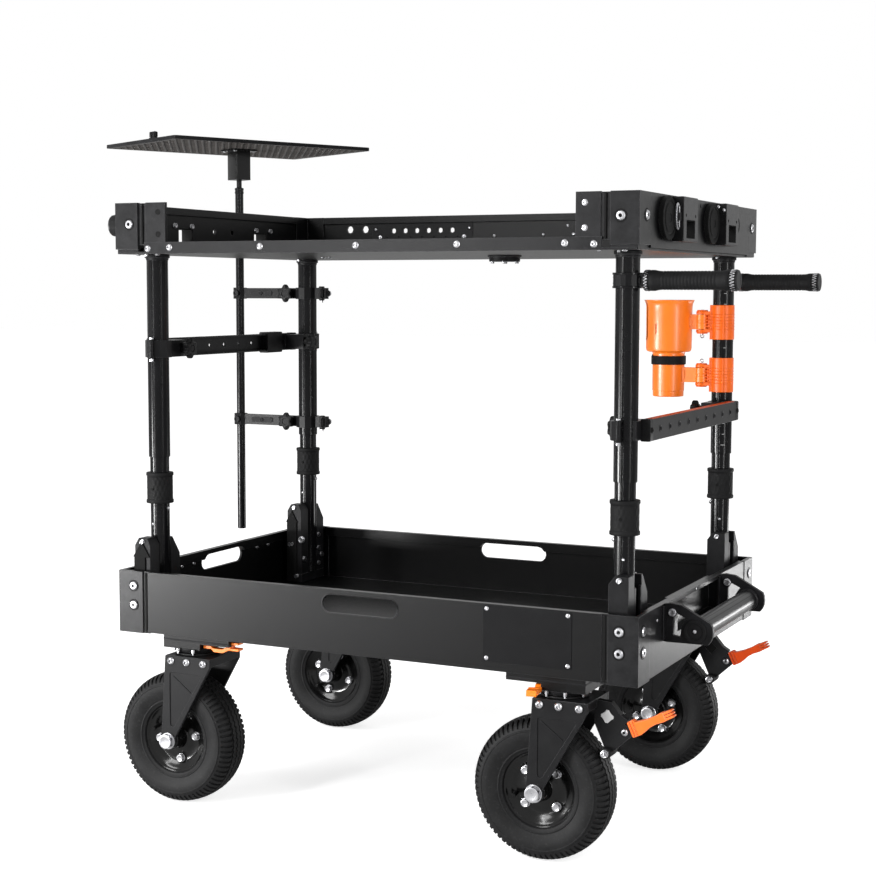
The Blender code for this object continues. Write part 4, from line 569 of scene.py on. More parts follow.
# Posts
def fluted(bm, cx, cy, low, high, outer, inner, flutes=8, wide=3.2, deep=0.9, phase=0.0):
    """A tube with straight grooves along it, and softened ends."""
    outline = []
    half = wide / outer / 2
    for k in range(flutes):
        start = 2 * math.pi * k / flutes + phase
        outline += [(start - half, outer), (start - half * 0.7, outer - deep),
                (start + half * 0.7, outer - deep), (start + half, outer)]
        span = 2 * math.pi / flutes - 2 * half
        outline += [(start + half + span * i / 6, outer) for i in range(1, 6)]
    rings = []
    for z, less in ((low, 0.7), (low + 0.7, 0), (high - 0.7, 0), (high, 0.7)):
        rings.append([bm.verts.new((cx + (r - less) * math.cos(t), cy + (r - less) * math.sin(t), z))
                for t, r in outline])
    for z in (high, low):
        rings.append([bm.verts.new((cx + inner * math.cos(t), cy + inner * math.sin(t), z))
                for t, _ in outline])
    skin(bm, rings, closed=True)


def knurled(bm, cx, cy, low, high, radius, inner, around=96, rows=22, depth=0.9, cells=18, turns=4):
    """A sleeve with raised diamonds, made to sit between two smooth rims."""
    rings = []
    for j in range(rows + 1):
        z = low + (high - low) * j / rows
        ring = []
        for i in range(around):
            t = 2 * math.pi * i / around
            up = (z - low) / (high - low) * turns * math.pi
            bump = abs(math.sin(t * cells / 2 + up / 2)) * abs(math.sin(t * cells / 2 - up / 2))
            bump = min(1.0, bump * 1.8)
            r = radius - depth * (1 - bump)
            ring.append(bm.verts.new((cx + r * math.cos(t), cy + r * math.sin(t), z)))
        rings.append(ring)
    for z in (high, low):
        rings.append([bm.verts.new((cx + inner * math.cos(2 * math.pi * i / around),
                cy + inner * math.sin(2 * math.pi * i / around), z)) for i in range(around)])
    skin(bm, rings, closed=True)


def make_post(tag, sx, sy):
    """Both tubes of a leg, its rubber collar, fixings and scale ticks."""
    x, y = sx * POST_X, sy * POST_Y
    turn = math.radians(-41.5)
    bm = bmesh.new()
    fluted(bm, x, y, 682.0, 1081.6, POST_RADIUS, 19.3, phase=turn)
    piece = build("post_outer_" + tag, bm, TUBE, "deck", smooth=24)
    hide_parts("upper_post_" + tag)
    bm = bmesh.new()
    lathe(bm, (x, y, 0), Z, [(1081.6, 20.6), (1081.6, 24.0), (1081.0, 24.6), (1076.4, 24.6), (1075.6, 24.0),
            (1075.6, 22.4), (1071.0, 21.6), (1071.0, 20.6)], 48, closed=True)
    build("post_flange_" + tag, bm, CAST, "deck")
    bm = bmesh.new()
    hex_bolt(bm, Vector((x, y, 1081.8)) + turned(-105, Y)[0] * 27.0, -Z, 6.6, 3.6, washer=False)
    build("flange_bolt_" + tag, bm, STEEL, "deck")

    bm = bmesh.new()
    fluted(bm, x, y, 364.2, 940.0, 18.8, 16.3, phase=turn)
    piece = build("post_inner_" + tag, bm, TUBE, "base", smooth=24)
    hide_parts("lower_post_" + tag)
    bm = bmesh.new()
    lathe(bm, (x, y, 0), Z, [(590.0, 18.9), (590.0, 26.2), (590.8, 27.0), (595.6, 27.0), (597.6, 25.6),
            (599.0, 24.9), (599.6, 18.9)], 64, closed=True)
    lathe(bm, (x, y, 0), Z, [(641.4, 18.9), (642.0, 24.9), (643.4, 25.6), (645.4, 27.0), (650.2, 27.0),
            (651.0, 26.2), (651.0, 18.9)], 64, closed=True)
    knurled(bm, x, y, 598.6, 642.4, 25.6, 18.9)
    build("collar_" + tag, bm, GRIP, "base", smooth=50)
    # The eyelet in the collar's face
    bm = bmesh.new()
    lathe(bm, (x, y - 25.0, 619.0), -Y, [(-2, 0), (-2, 2.6), (0.9, 2.6), (1.2, 2.2), (1.2, 1.2), (-1, 1.0),
            (-1, 0)], 16)
    build("collar_eye_" + tag, bm, DARK_AND_SHADE, "base")

    bm = bmesh.new()
    bolt_x = sx * 498.1
    hex_bolt(bm, (bolt_x, y - 49.4, 516.0), -Y, 8.0, 3.6)
    hex_bolt(bm, (bolt_x, y + 28.8, 514.0), Y, 9.0, 5.0)
    rod(bm, (bolt_x, y - 48, 516.0), Y, 4.2, 0, 76, 20)
    socket_screw(bm, (bolt_x - sx * 4.0, y - 18.4, 548.0), -Y, 3.0, 2.0)
    build("pivot_bolt_" + tag, bm, STEEL, "base")
    # Screws on the bracket's inner side, and on the near face of the rear left one
    bm = bmesh.new()
    inner_face = sx * (POST_X - 11.0)
    if tag == "rl":
        hex_bolt(bm, (-478.0, y - BRACKET_HALF, 443.5), -Y, 12.6, 4.2)
        for bolt_x, z in ((-502.0, 432.0), (-509.0, 431.0), (-492.0, 358.6)):
            hex_bolt(bm, (bolt_x, y - BRACKET_HALF, z), -Y, 8.6, 3.4)
        for z in (446.0, 415.0, 380.0):
            hex_bolt(bm, (inner_face, y + 26.0, z), X, 8.6, 3.4)
    for dy, z in ((-40, 398), (40, 398)):
        hex_bolt(bm, (inner_face, y + dy, z), -X * sx, 10.0, 4.0)
    build("bracket_bolts_" + tag, bm, STEEL, "base")

    if sy > 0:
        # Plain height ticks on the face towards the camera. The left ones lie inside the tube.
        tick_x = -492.0 if sx < 0 else x
        facing, steps = math.radians(-64), 5
        bm = bmesh.new()
        for k in range(17):
            z = 700 + 22 * k
            half = (9.0 if k % 4 == 0 else 5.0) / POST_RADIUS / 2
            angles = [facing + (2 * i / steps - 1) * half for i in range(steps + 1)]
            section = [(t, 21.32) for t in angles] + [(t, 20.6) for t in angles[::-1]]
            rings = [[bm.verts.new((tick_x + r * math.cos(t), y + r * math.sin(t), level))
                    for t, r in section] for level in (z, z + 1.1)]
            skin(bm, rings)
            for ring in rings:
                for i in range(steps):
                    bm.faces.new((ring[i], ring[i + 1], ring[-2 - i], ring[-1 - i]))
        build("height_ticks_" + tag, bm, MARK, "deck")


for tag, (sx, sy) in CORNERS.items():
    make_post(tag, sx, sy)


# Star knobs, clamps and bars
def star(bm, centre, axis, radius, height, neck=0.5):
    """A six-lobed hand knob with a crowned top on a round neck, its seat at centre."""
    u, v, w = axes(Vector(axis))
    centre = Vector(centre)
    lobes, around = 6, 72

    def ring(level, size, lobed):
        points = []
        for i in range(around):
            t = 2 * math.pi * i / around
            wave = math.cos(lobes * t)
            r = size * (1 - lobed + lobed * (0.86 + 0.14 * wave))
            points.append(bm.verts.new(centre + w * level + (u * math.cos(t) + v * math.sin(t)) * r))
        return points

    rings = [ring(0, radius * neck, 0), ring(height * 0.36, radius * neck, 0),
            ring(height * 0.40, radius * 0.88, 1), ring(height * 0.46, radius * 0.98, 1),
            ring(height * 0.52, radius, 1.15), ring(height * 0.84, radius, 1.15),
            ring(height * 0.93, radius * 0.95, 1), ring(height * 0.97, radius * 0.84, 0.9),
            ring(height, radius * 0.5, 0.2), ring(height * 0.99, radius * 0.36, 0),
            ring(height * 0.93, radius * 0.33, 0)]
    skin(bm, rings)
    bm.faces.new(rings[0])
    bm.faces.new(rings[-1])


def make_bars():
    """The drilled bars' small parts: star knobs, clamp hinges, end caps, strip, bushes and slider."""
    for name, sx, bar_z in BAR_SIDES:
        inner = sx * (POST_X + 21.9)
        outer = inner + sx * 17.0
        for end, sy in (("front", -1), ("rear", 1)):
            seat = Vector((sx * (POST_X - 25.3), sy * (POST_Y - 50.0), bar_z))
            tag = "%s_%s" % (name, end)
            bm = bmesh.new()
            star(bm, seat, -X * sx, 20.4, 22.4)
            knob = build("star_knob_" + tag, bm, KNOB, "knob_" + tag, smooth=40)
            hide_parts("bar_knob_" + tag)
            bm = bmesh.new()
            lathe(bm, seat - X * sx * 20.6, -X * sx, [(0, 0), (0, 6.2), (0.8, 6.2), (1.3, 5.6), (1.3, 0)], 24)
            build("knob_cap_" + tag, bm, KNOB, "knob_" + tag)
            bm = bmesh.new()
            rod(bm, seat, X * sx, 3.9, -1, 23)
            build("knob_insert_" + tag, bm, STEEL, "knob_" + tag)
            # Hinge barrel and pin of the split clamp, at its outer edge
            bm = bmesh.new()
            barrel = Vector((sx * (POST_X - 4.0), sy * (POST_Y + 28.5), bar_z))
            lathe(bm, barrel - Z * 19.5, Z, [(0, 0), (0, 4.4), (1, 5.0), (11.6, 5.0), (12.4, 4.4),
                    (13.2, 5.0), (25.8, 5.0), (26.6, 4.4), (27.4, 5.0), (38, 5.0), (39, 4.4), (39, 0)], 20)
            build("clamp_hinge_" + tag, bm, BAR, "deck")
            bm = bmesh.new()
            hex_bolt(bm, barrel - Z * 19.5, -Z, 8.0, 5.0, washer=False)
            hex_bolt(bm, barrel + Z * 19.5, Z, 8.0, 3.0, washer=False)
            build("clamp_pin_" + tag, bm, STEEL, "deck")
            # Black end cap with its dark screw
            bm = bmesh.new()
            ys = sorted((sy * 277.4, sy * 262.0))
            prism(bm, rounded(18.4, 39.4, 3.0, 4, (inner + outer) / 2, bar_z), (0, ys[0], 0), X, Z,
                    ys[0] - ys[1])
            build("bar_end_" + tag, bm, KNOB, "deck", bevel=0.7)
            bm = bmesh.new()
            socket_screw(bm, (outer + sx * 0.4, sy * 269.5, bar_z), X * sx, 5.4, 2.6)
            build("bar_screw_" + tag, bm, DARK_AND_SHADE, "deck")
        # Red strip on the top of the bar
        if name == "right":
            bm = bmesh.new()
            prism(bm, rounded(13.0, 516.0, 1.5, 3, (inner + outer) / 2, 0), (0, 0, bar_z + 18.4), X, Y, 1.3)
            build("bar_strip_right", bm, RED_AND_PEDAL_SHADE, "deck", bevel=0.3)
        # Bushes in the bar's holes
        bm = bmesh.new()
        for k in range(9):
            lathe(bm, (outer - sx * 2.5, -220 + 55 * k, bar_z), X * sx, [(0, 3.7), (0, 4.9), (2.5, 4.9),
                    (2.6, 6.4), (3.2, 6.2), (3.4, 4.6), (3.0, 3.7)], 24, closed=True)
        build("bar_bushes_" + name, bm, BAR, "deck")
    # The block that slides along the left bar, the last one made
    bm = bmesh.new()
    prism(bm, rounded(23.0, 46.0, 3.0, 4, (inner + outer) / 2, bar_z), (0, 212.0, 0), X, Z, 62.0)
    build("bar_slider_left", bm, KNOB, "deck", bevel=1.0)


def make_pole_and_arms():
    """The stepped pole, and on each of its arms the star knob, trim and wing nut."""
    pole_x, pole_y = POLE_X, POST_Y
    bm = bmesh.new()
    lathe(bm, (pole_x, pole_y, 0), Z, [(452, 0), (452, 8.8), (452.8, 9.5), (1236, 9.5), (1237, 10.4),
            (1241, 10.4), (1242, 9.6), (1243.5, 9.6), (1244.5, 10.4), (1248.5, 10.4), (1249.5, 9.6),
            (1250.5, 6.0), (1287.0, 6.0), (1287.0, 0)], 40)
    pole = build("pole_tube", bm, TUBE, "pole")
    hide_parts("laptop_pole")
    for tag, z in (("upper", 1006.0), ("lower", 712.0)):
        seat = Vector((-POST_X - 45.5, 285.8, z))
        bm = bmesh.new()
        star(bm, seat, -Y, 20.4, 22.4)
        knob = build("arm_star_" + tag, bm, KNOB, "arm_knob_" + tag, smooth=40)
        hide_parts("arm_knob_" + tag)
        bm = bmesh.new()
        rod(bm, seat, Y, 3.9, -1, 9)
        build("arm_stud_" + tag, bm, STEEL, "arm_knob_" + tag)
        bm = bmesh.new()
        # Dull bolt head that closes the eye round the pole
        lathe(bm, (pole_x, pole_y - 15.2, z), -Y, [(0, 0), (0, 7.6), (3.4, 7.6), (4.4, 6.6),
                (4.4, 4.4, "hex"), (2.0, 4.2, "hex"), (2.0, 0)], 30)
        # Raised band on the arm and its rivet
        prism(bm, rounded(58, 12, 5, 5, pole_x + 62, z), (0, pole_y - 6.2, 0), X, Z, 1.4)
        lathe(bm, (pole_x + 62, pole_y - 7.6, z), -Y, [(0, 0), (0, 4.4), (1.8, 4.0), (2.2, 2.6), (1.2, 2.4),
                (1.2, 0)], 20)
        build("arm_trim_" + tag, bm, CAST, "deck", bevel=0.4)
        # Wing nut on the split ears
        bm = bmesh.new()
        wing_x = -442.0
        outline = [(-5.0, -16), (5.0, -16), (5.0, -10), (1.0, -8), (1.0, 8), (5.0, 10), (5.0, 16), (-5.0, 16)]
        prism(bm, [(wing_x + a, z + b) for a, b in outline], (0, pole_y - 11.4, 0), X, Z, 11.0)
        build("wing_nut_" + tag, bm, KNOB, "deck", bevel=1.6)
        bm = bmesh.new()
        hex_bolt(bm, (wing_x, pole_y - 17.0, z - 16.0), -Z, 6.0, 4.0)
        hex_bolt(bm, (wing_x, pole_y + 10.0, z), Y, 12.0, 5.0)
        build("wing_bolt_" + tag, bm, STEEL, "deck")


make_bars()
make_pole_and_arms()


# Deck
def ring_of(cx, cy, radius, count=20):
    """The outline of a round hole."""
    return corner_arc((cx, cy), radius, 0, 360, count)[:-1]


def corner_bolt(heads, socket_shades, seat_shades, centre, axis):
    """A flat round head with a six-sided socket whose inside is filled dark as painted shade, and a dark ring
    of painted shade in the sunk seat round it.
    """
    r = 11.6
    lathe(seat_shades, centre, axis, [(-0.5, r * 0.5), (-0.5, r), (0.35, r * 0.98), (0.35, r * 0.9),
            (-0.2, r * 0.8), (-0.2, r * 0.5)], 32, closed=True)
    lathe(heads, centre, axis, [(-0.5, 3.6), (-0.5, 8.3), (1.6, 8.3), (3.2, 7.0), (3.4, 5.0),
            (3.4, 3.6, "hex"), (1.4, 3.4, "hex"), (-0.5, 3.4)], 30, closed=True)
    rod(socket_shades, centre, axis, 3.5, -0.4, 1.9, 18)


def make_deck_trim():
    """Bolts, holes filled with painted shade, inset panel, receiver boxes, pads, bumper, boss and the painted
    shade of the grooves of the deck.
    """
    face = 365.4
    bolts, seat_shades, holes, socket_shades = bmesh.new(), bmesh.new(), bmesh.new(), bmesh.new()
    for sx in (-1, 1):
        places = [((sx * 502.0, sy * face, 1139.0), Y * sy) for sy in (-1, 1)]
        places += [((sx * WALL_END, sy * 329.0, 1141.0), X * sx) for sy in (-1, 1)]
        for place, out in places:
            corner_bolt(bolts, socket_shades, seat_shades, place, out)
    for z in (1162.0, 1119.5):
        socket_screw(bolts, (436.5, 2.0 - face, z), -Y, 5.6, 1.4)
        # On the left a dark disc stands in the empty hole as painted shade.
        lathe(holes, (-436.5, 2.0 - face, z), -Y, [(-1, 0), (-1, 5.6), (0.4, 5.6), (0.4, 4.8), (0.1, 4.4),
                (0.1, 0)], 24)
    for x in (-460, -410, -207, -4, 198, 401, 454):
        socket_screw(bolts, (x, -364.9, 1094.0 if abs(x) < 450 else 1092.0), -Y, 6.8, 3.4)
    for x, z, r in ((-336, 1133, 5.4), (-125, 1133, 5.4), (-347, 1151, 3.6), (-112, 1152, 3.6),
            (-52, 1134, 3.4), (65, 1135, 3.4), (122, 1154, 3.4), (135, 1135, 4.0), (310, 1134, 4.0),
            (356, 1120, 3.4)):
        on_panel = abs(x + 229.5) < 126
        socket_screw(bolts, (x, WALL_REAR - (1.5 if on_panel else 0), z), -Y, r, 2.0)
    for y, z in ((-174, 1144), (-114, 1144), (136, 1144), (195, 1144), (235, 1112), (262, 1112)):
        hex_bolt(bolts, (-529.1, y, z), X, 8.6, 3.6)
    # Dark discs are painted shade in the pin holes of the receiver faces.
    for sx, y in ((1, -150), (1, 115), (-1, -135), (-1, 154)):
        for step in (-27.5, 27.5):
            lathe(holes, (sx * RECEIVER_FACE, y + step, 1146.0), X * sx,
                  [(-1, 0), (-1, 2.9), (0.35, 2.9), (0.45, 2.2), (0.2, 1.8), (0.2, 0)], 16)
    build("deck_bolts", bolts, STEEL, "deck")
    # Painted shade: the dark seats and the dark insides of the sockets.
    build("deck_seat_shade", seat_shades, DARK_AND_SHADE, "deck")
    build("deck_socket_shade", socket_shades, DARK_AND_SHADE, "deck")
    build("deck_hole_shade", holes, DARK_AND_SHADE, "deck")

    # Inset panel on the rear wall with its rows of holes
    bm = bmesh.new()
    rows = [ring_of(-302 + 29.4 * k, 1148, 6.7) for k in range(6)]
    small = [ring_of(-317 + 29.4 * k, 1133, 2.1, 12) for k in range(7)]
    pierced(bm, rounded(252, 41, 3, 4, -229.5, 1145), rows + small, (0, WALL_REAR, 0), X, Z, 1.6)
    build("rear_panel", bm, PLATE, "deck", bevel=0.25)
    # Painted shade: dark discs behind the small holes
    bm = bmesh.new()
    for k in range(7):
        rod(bm, (-317 + 29.4 * k, WALL_REAR - 0.1, 1133), -Y, 2.0, -0.4, 0.3, 12)
    build("rear_panel_hole_shade", bm, DARK_AND_SHADE, "deck")

    # Two bolts on the near side of the second receiver box
    bm = bmesh.new()
    for x, z in ((541.0, 1172.0), (552.0, 1166.0)):
        socket_screw(bm, (x, 70.4, z), -Y, 3.4, 2.2)
    build("receiver_bolts", bm, STEEL, "deck")

    # Face plates, liners, side caps and round pads of the receiver boxes. The liners are painted shade
    # in the square sockets, and the pads' dark is partly a painted shadow.
    for name, side, places in (("right", 1, (-150, 115)), ("left", -1, (-135, 154))):
        plates, socket_shade_liners, caps, pads = bmesh.new(), bmesh.new(), bmesh.new(), bmesh.new()
        for y in places:
            hole = rounded(50, 33, 2.0, 3, y, 1122.0)
            pins = [ring_of(y + step, 1146, 3.0, 14) for step in (-27.5, 27.5)]
            pierced(plates, rounded(82, 76, 2.5, 3, y, 1139.5), [hole] + pins, (side * RECEIVER_FACE, 0, 0),
                    Y, Z, 1.2 * side)
            # Lining of the square socket, dark as painted shade inside it
            outer, inner = [[(y + a * half, 1122.0 + b * (half - 8.5)) for a, b in ((-1, -1), (1, -1), (1, 1),
                    (-1, 1))] for half in (25.4, 23.6)]
            pierced(socket_shade_liners, outer, [inner], (side * 530.0, 0, 0), Y, Z, 25.4 * side)
            # Cap on the box's near side, and the pad beside it, dark in part as a painted shadow
            xs = sorted((side * 537.0, side * 556.8))
            block(caps, (xs[0], y - 44.6, 1103.0), (xs[1], y - 41.6, 1176.5))
            lathe(pads, (side * 543.0, y - 82.5, 1139.25), X * side, [(-7.6, 0), (-7.6, 38.2), (1.2, 38.2),
                    (1.8, 37.4), (1.8, 31.0), (0.8, 30.2), (0.8, 27.6), (1.8, 26.8), (2.6, 25.6), (2.6, 8.0),
                    (1.4, 7.0), (1.4, 0)], 56)
        build("receiver_faces_" + name, plates, SHEET, "deck", bevel=0.3)
        build("receiver_socket_shade_" + name, socket_shade_liners, DARK_AND_SHADE, "deck")
        build("receiver_caps_" + name, caps, KNOB, "deck", bevel=0.8)
        build("end_pad_and_shadow_" + name, pads, DARK_AND_SHADE, "deck")

    # Small cut marks on the right end wall: a triangle and two crescents
    bm = bmesh.new()
    prism(bm, [(-29.5, 1166.5), (-20.5, 1166.5), (-25, 1174)], (WALL_END - 0.2, 0, 0), Y, Z, 0.5)
    for y, z, r, thick in ((11, 1138, 7.0, 3.0), (222, 1143, 17.0, 3.4)):
        outer = corner_arc((y, z), r, -58, 58, 10)
        inner = corner_arc((y - thick * 0.6, z), r - thick * 0.55, 55, -55, 10)
        prism(bm, outer + inner, (WALL_END - 0.2, 0, 0), Y, Z, 0.5)
    build("end_marks", bm, DARK_AND_SHADE, "deck")

    # Round rubber bumper at the left front corner, and the boss under the deck
    bm = bmesh.new()
    lathe(bm, (-535.3, -335.0, 1138.5), -X, [(0, 0), (0, 22.6), (4, 22.6), (5, 21.6), (20.5, 21.4),
            (23.6, 20.2), (25.4, 17.4), (25.6, 10.0), (24.6, 9.0), (24.6, 0)], 48)
    build("end_bumper", bm, GRIP, "deck")
    bm = bmesh.new()
    lathe(bm, (135, -10, 1082.2), -Z, [(0, 20), (0, 33.5), (2.4, 33.5), (3.2, 32.6), (3.4, 30.4),
            (11.2, 30.4), (12.4, 29.2), (12.4, 20)], 48, closed=True)
    build("boss_ring", bm, CAST, "deck")
    bm = bmesh.new()
    for k in range(4):
        hex_bolt(bm, Vector((135, -10, 1070.0)) + turned(20 + 90 * k, Y)[0] * 24, -Z, 7.0, 3.2)
    for x, y in ((-305, 45), (-290, 45), (-500, -340), (-455, -340), (455, -340), (500, -340)):
        socket_screw(bm, (x, y, 1082.0), -Z, 5.2, 3.0)
    build("deck_under_bolts", bm, STEEL, "deck")

    # Painted shade: a dark strip stands for the shade in the groove of each front casting
    bm = bmesh.new()
    for x in (-475.6, 471.6):
        block(bm, (x, -364.2, 1101.0), (x + 4.0, -361.0, 1178.0))
    build("groove_shade_strips", bm, DARK_AND_SHADE, "deck", bevel=0.6)


# Tray
def make_tray_trim():
    """Bolts, nameplate, edges of the hand slots and the painted shade in the grooves of the tray."""
    end = 541.35
    bolts, seat_shades, socket_shades = bmesh.new(), bmesh.new(), bmesh.new()
    for sx, sy in CORNERS.values():
        end_y = -338.0 if (sx, sy) == CORNERS["fr"] else sy * 333.0
        places = [((sx * 506.0, sy * 361.2, z), Y * sy) for z in (431.0, 393.0)]
        places += [((sx * end, end_y, z), X * sx) for z in (431.0, 394.0)]
        for place, out in places:
            corner_bolt(bolts, socket_shades, seat_shades, place, out)
    for y in (-153, -109, 141, 188):
        socket_screw(bolts, (-535.8, y, 437.0), X, 5.6, 3.0)
        socket_screw(bolts, (-539.9, y, 437.0), -X, 5.6, 3.0)
    socket_screw(bolts, (TRAY_END, -28.0, 455.6), X, 2.6, 1.2)
    socket_screw(bolts, (end, -262.0, 437.0), X, 2.6, 1.2)
    build("tray_bolts", bolts, STEEL, "base")
    # Painted shade: the dark seats and the dark insides of the sockets.
    build("tray_seat_shade", seat_shades, DARK_AND_SHADE, "base")
    build("tray_socket_shade", socket_shades, DARK_AND_SHADE, "base")

    # Bare nameplate with its rivets
    bm = bmesh.new()
    prism(bm, rounded(169, 102, 3.0, 4, 334.5, 406.5), (0, -359.6, 0), X, Z, 1.3)
    build("nameplate", bm, NAMEPLATE, "base", bevel=0.35)
    bm = bmesh.new()
    for x in (257, 412):
        for z in (362, 451):
            socket_screw(bm, (x, -360.9, z), -Y, 4.2, 1.8)
    build("nameplate_rivets", bm, STEEL, "base")

    # Rolled edges round the hand slots
    for name, base, u, depth in (("front", -Y * TRAY_SIDE, X, 0.9), ("rear", Y * TRAY_SIDE, X, -0.9),
            ("left", -X * TRAY_END, Y, -0.9)):
        bm = bmesh.new()
        outer = rounded(161, 37, 18.5, 12, 0, 433.0)
        inner = rounded(157, 33, 16.5, 12, 0, 433.0)
        pierced(bm, outer, [inner], base, u, Z, depth)
        build("slot_edge_" + name, bm, SHEET, "base", bevel=0.3)

    # Painted shade: a dark strip stands for the shade in the groove of each casting
    bm = bmesh.new()
    for sx, sy in CORNERS.values():
        x, ys = sx * 478.5, sorted((sy * 357.0, sy * 359.4))
        block(bm, (x - 2.5, ys[0], 340.0), (x + 2.5, ys[1], 458.6))
    build("tray_groove_shade", bm, DARK_AND_SHADE, "base", bevel=0.5)


def make_push_handle():
    """The round tube with end discs over the frame's handle, and its bolts."""
    bm = bmesh.new()
    lathe(bm, (PUSH_X, -218.0, PUSH_Z), Y, [(0, 8), (0, 19.4), (343.0, 19.4), (343.0, 8)], 56, closed=True)
    lathe(bm, (PUSH_X, -218.0, PUSH_Z), Y, [(4.4, 19.2), (4.4, 21.4), (9.5, 21.4), (11.0, 19.2)], 56,
            closed=True)
    lathe(bm, (PUSH_X, -218.0, PUSH_Z), Y, [(333, 19.2), (334.5, 21.4), (339.6, 21.4), (339.6, 19.2)], 56,
            closed=True)
    build("push_tube", bm, SATIN, "base")
    bm, steel = bmesh.new(), bmesh.new()
    for y, out in ((-223.0, -Y), (130.0, Y)):
        lathe(bm, (PUSH_X, y, PUSH_Z), out, [(-1, 0), (-1, 21.0), (1.8, 21.0), (2.8, 19.8), (2.8, 15.4),
                (1.2, 14.4), (1.2, 0)], 48)
        socket_screw(steel, (PUSH_X, y + out.y, PUSH_Z), out, 3.6, 2.0)
        hex_bolt(steel, (556.0, y, 446.0), out, 11.0, 4.6)
    for y, out in ((-215.0, Y), (122.0, -Y)):
        hex_bolt(steel, (556.0, y, 446.0), out, 11.0, 4.6)
    build("push_tube_caps", bm, GRIP, "base")
    build("push_handle_bolts", steel, STEEL, "base")
    bm = bmesh.new()
    for y in (-219.0, 126.0):
        for start in (y - 13, y + 4):
            block(bm, (540.0, start, 397.0), (543.4, start + 9, 457.0))
    build("push_handle_feet", bm, CAST, "base", bevel=0.8)


make_deck_trim()
make_tray_trim()
make_push_handle()


# Cup holder
CUP_X, HINGE_X, KNUCKLE_HALF = 375.0, 446.0, 15.3
# Name, height of the clamp, height of its knuckle and the side of the pin's eye
KNUCKLES = (("upper", 950.0, 950.5, -1), ("lower", 843.0, 841.5, 1))


def carved(bm, cutter):
    """bm with the closed shape cutter taken out of it."""
    things = []
    for source in (bm, cutter):
        bmesh.ops.recalc_face_normals(source, faces=source.faces[:])
        mesh = bpy.data.meshes.new("carving")
        source.to_mesh(mesh)
        source.free()
        thing = bpy.data.objects.new("carving", mesh)
        scene.collection.objects.link(thing)
        things.append(thing)
    boolean = things[0].modifiers.new("cut", "BOOLEAN")
    boolean.operation, boolean.solver, boolean.object = "DIFFERENCE", "EXACT", things[1]
    bpy.context.view_layer.update()
    mesh = bpy.data.meshes.new_from_object(things[0].evaluated_get(bpy.context.evaluated_depsgraph_get()))
    result = bmesh.new()
    result.from_mesh(mesh)
    for thing in things:
        bpy.data.objects.remove(thing, do_unlink=True)
    bpy.data.meshes.remove(mesh)
    return result


def ring_eye(bm, centre, radius, wire):
    """A round wire eye standing in the plane of X and Z."""
    tube(bm, [Vector(centre) + X * (radius * math.cos(t)) + Z * (radius * math.sin(t))
              for t in (2 * math.pi * i / 24 for i in range(24))], wire, 8, closed=True)


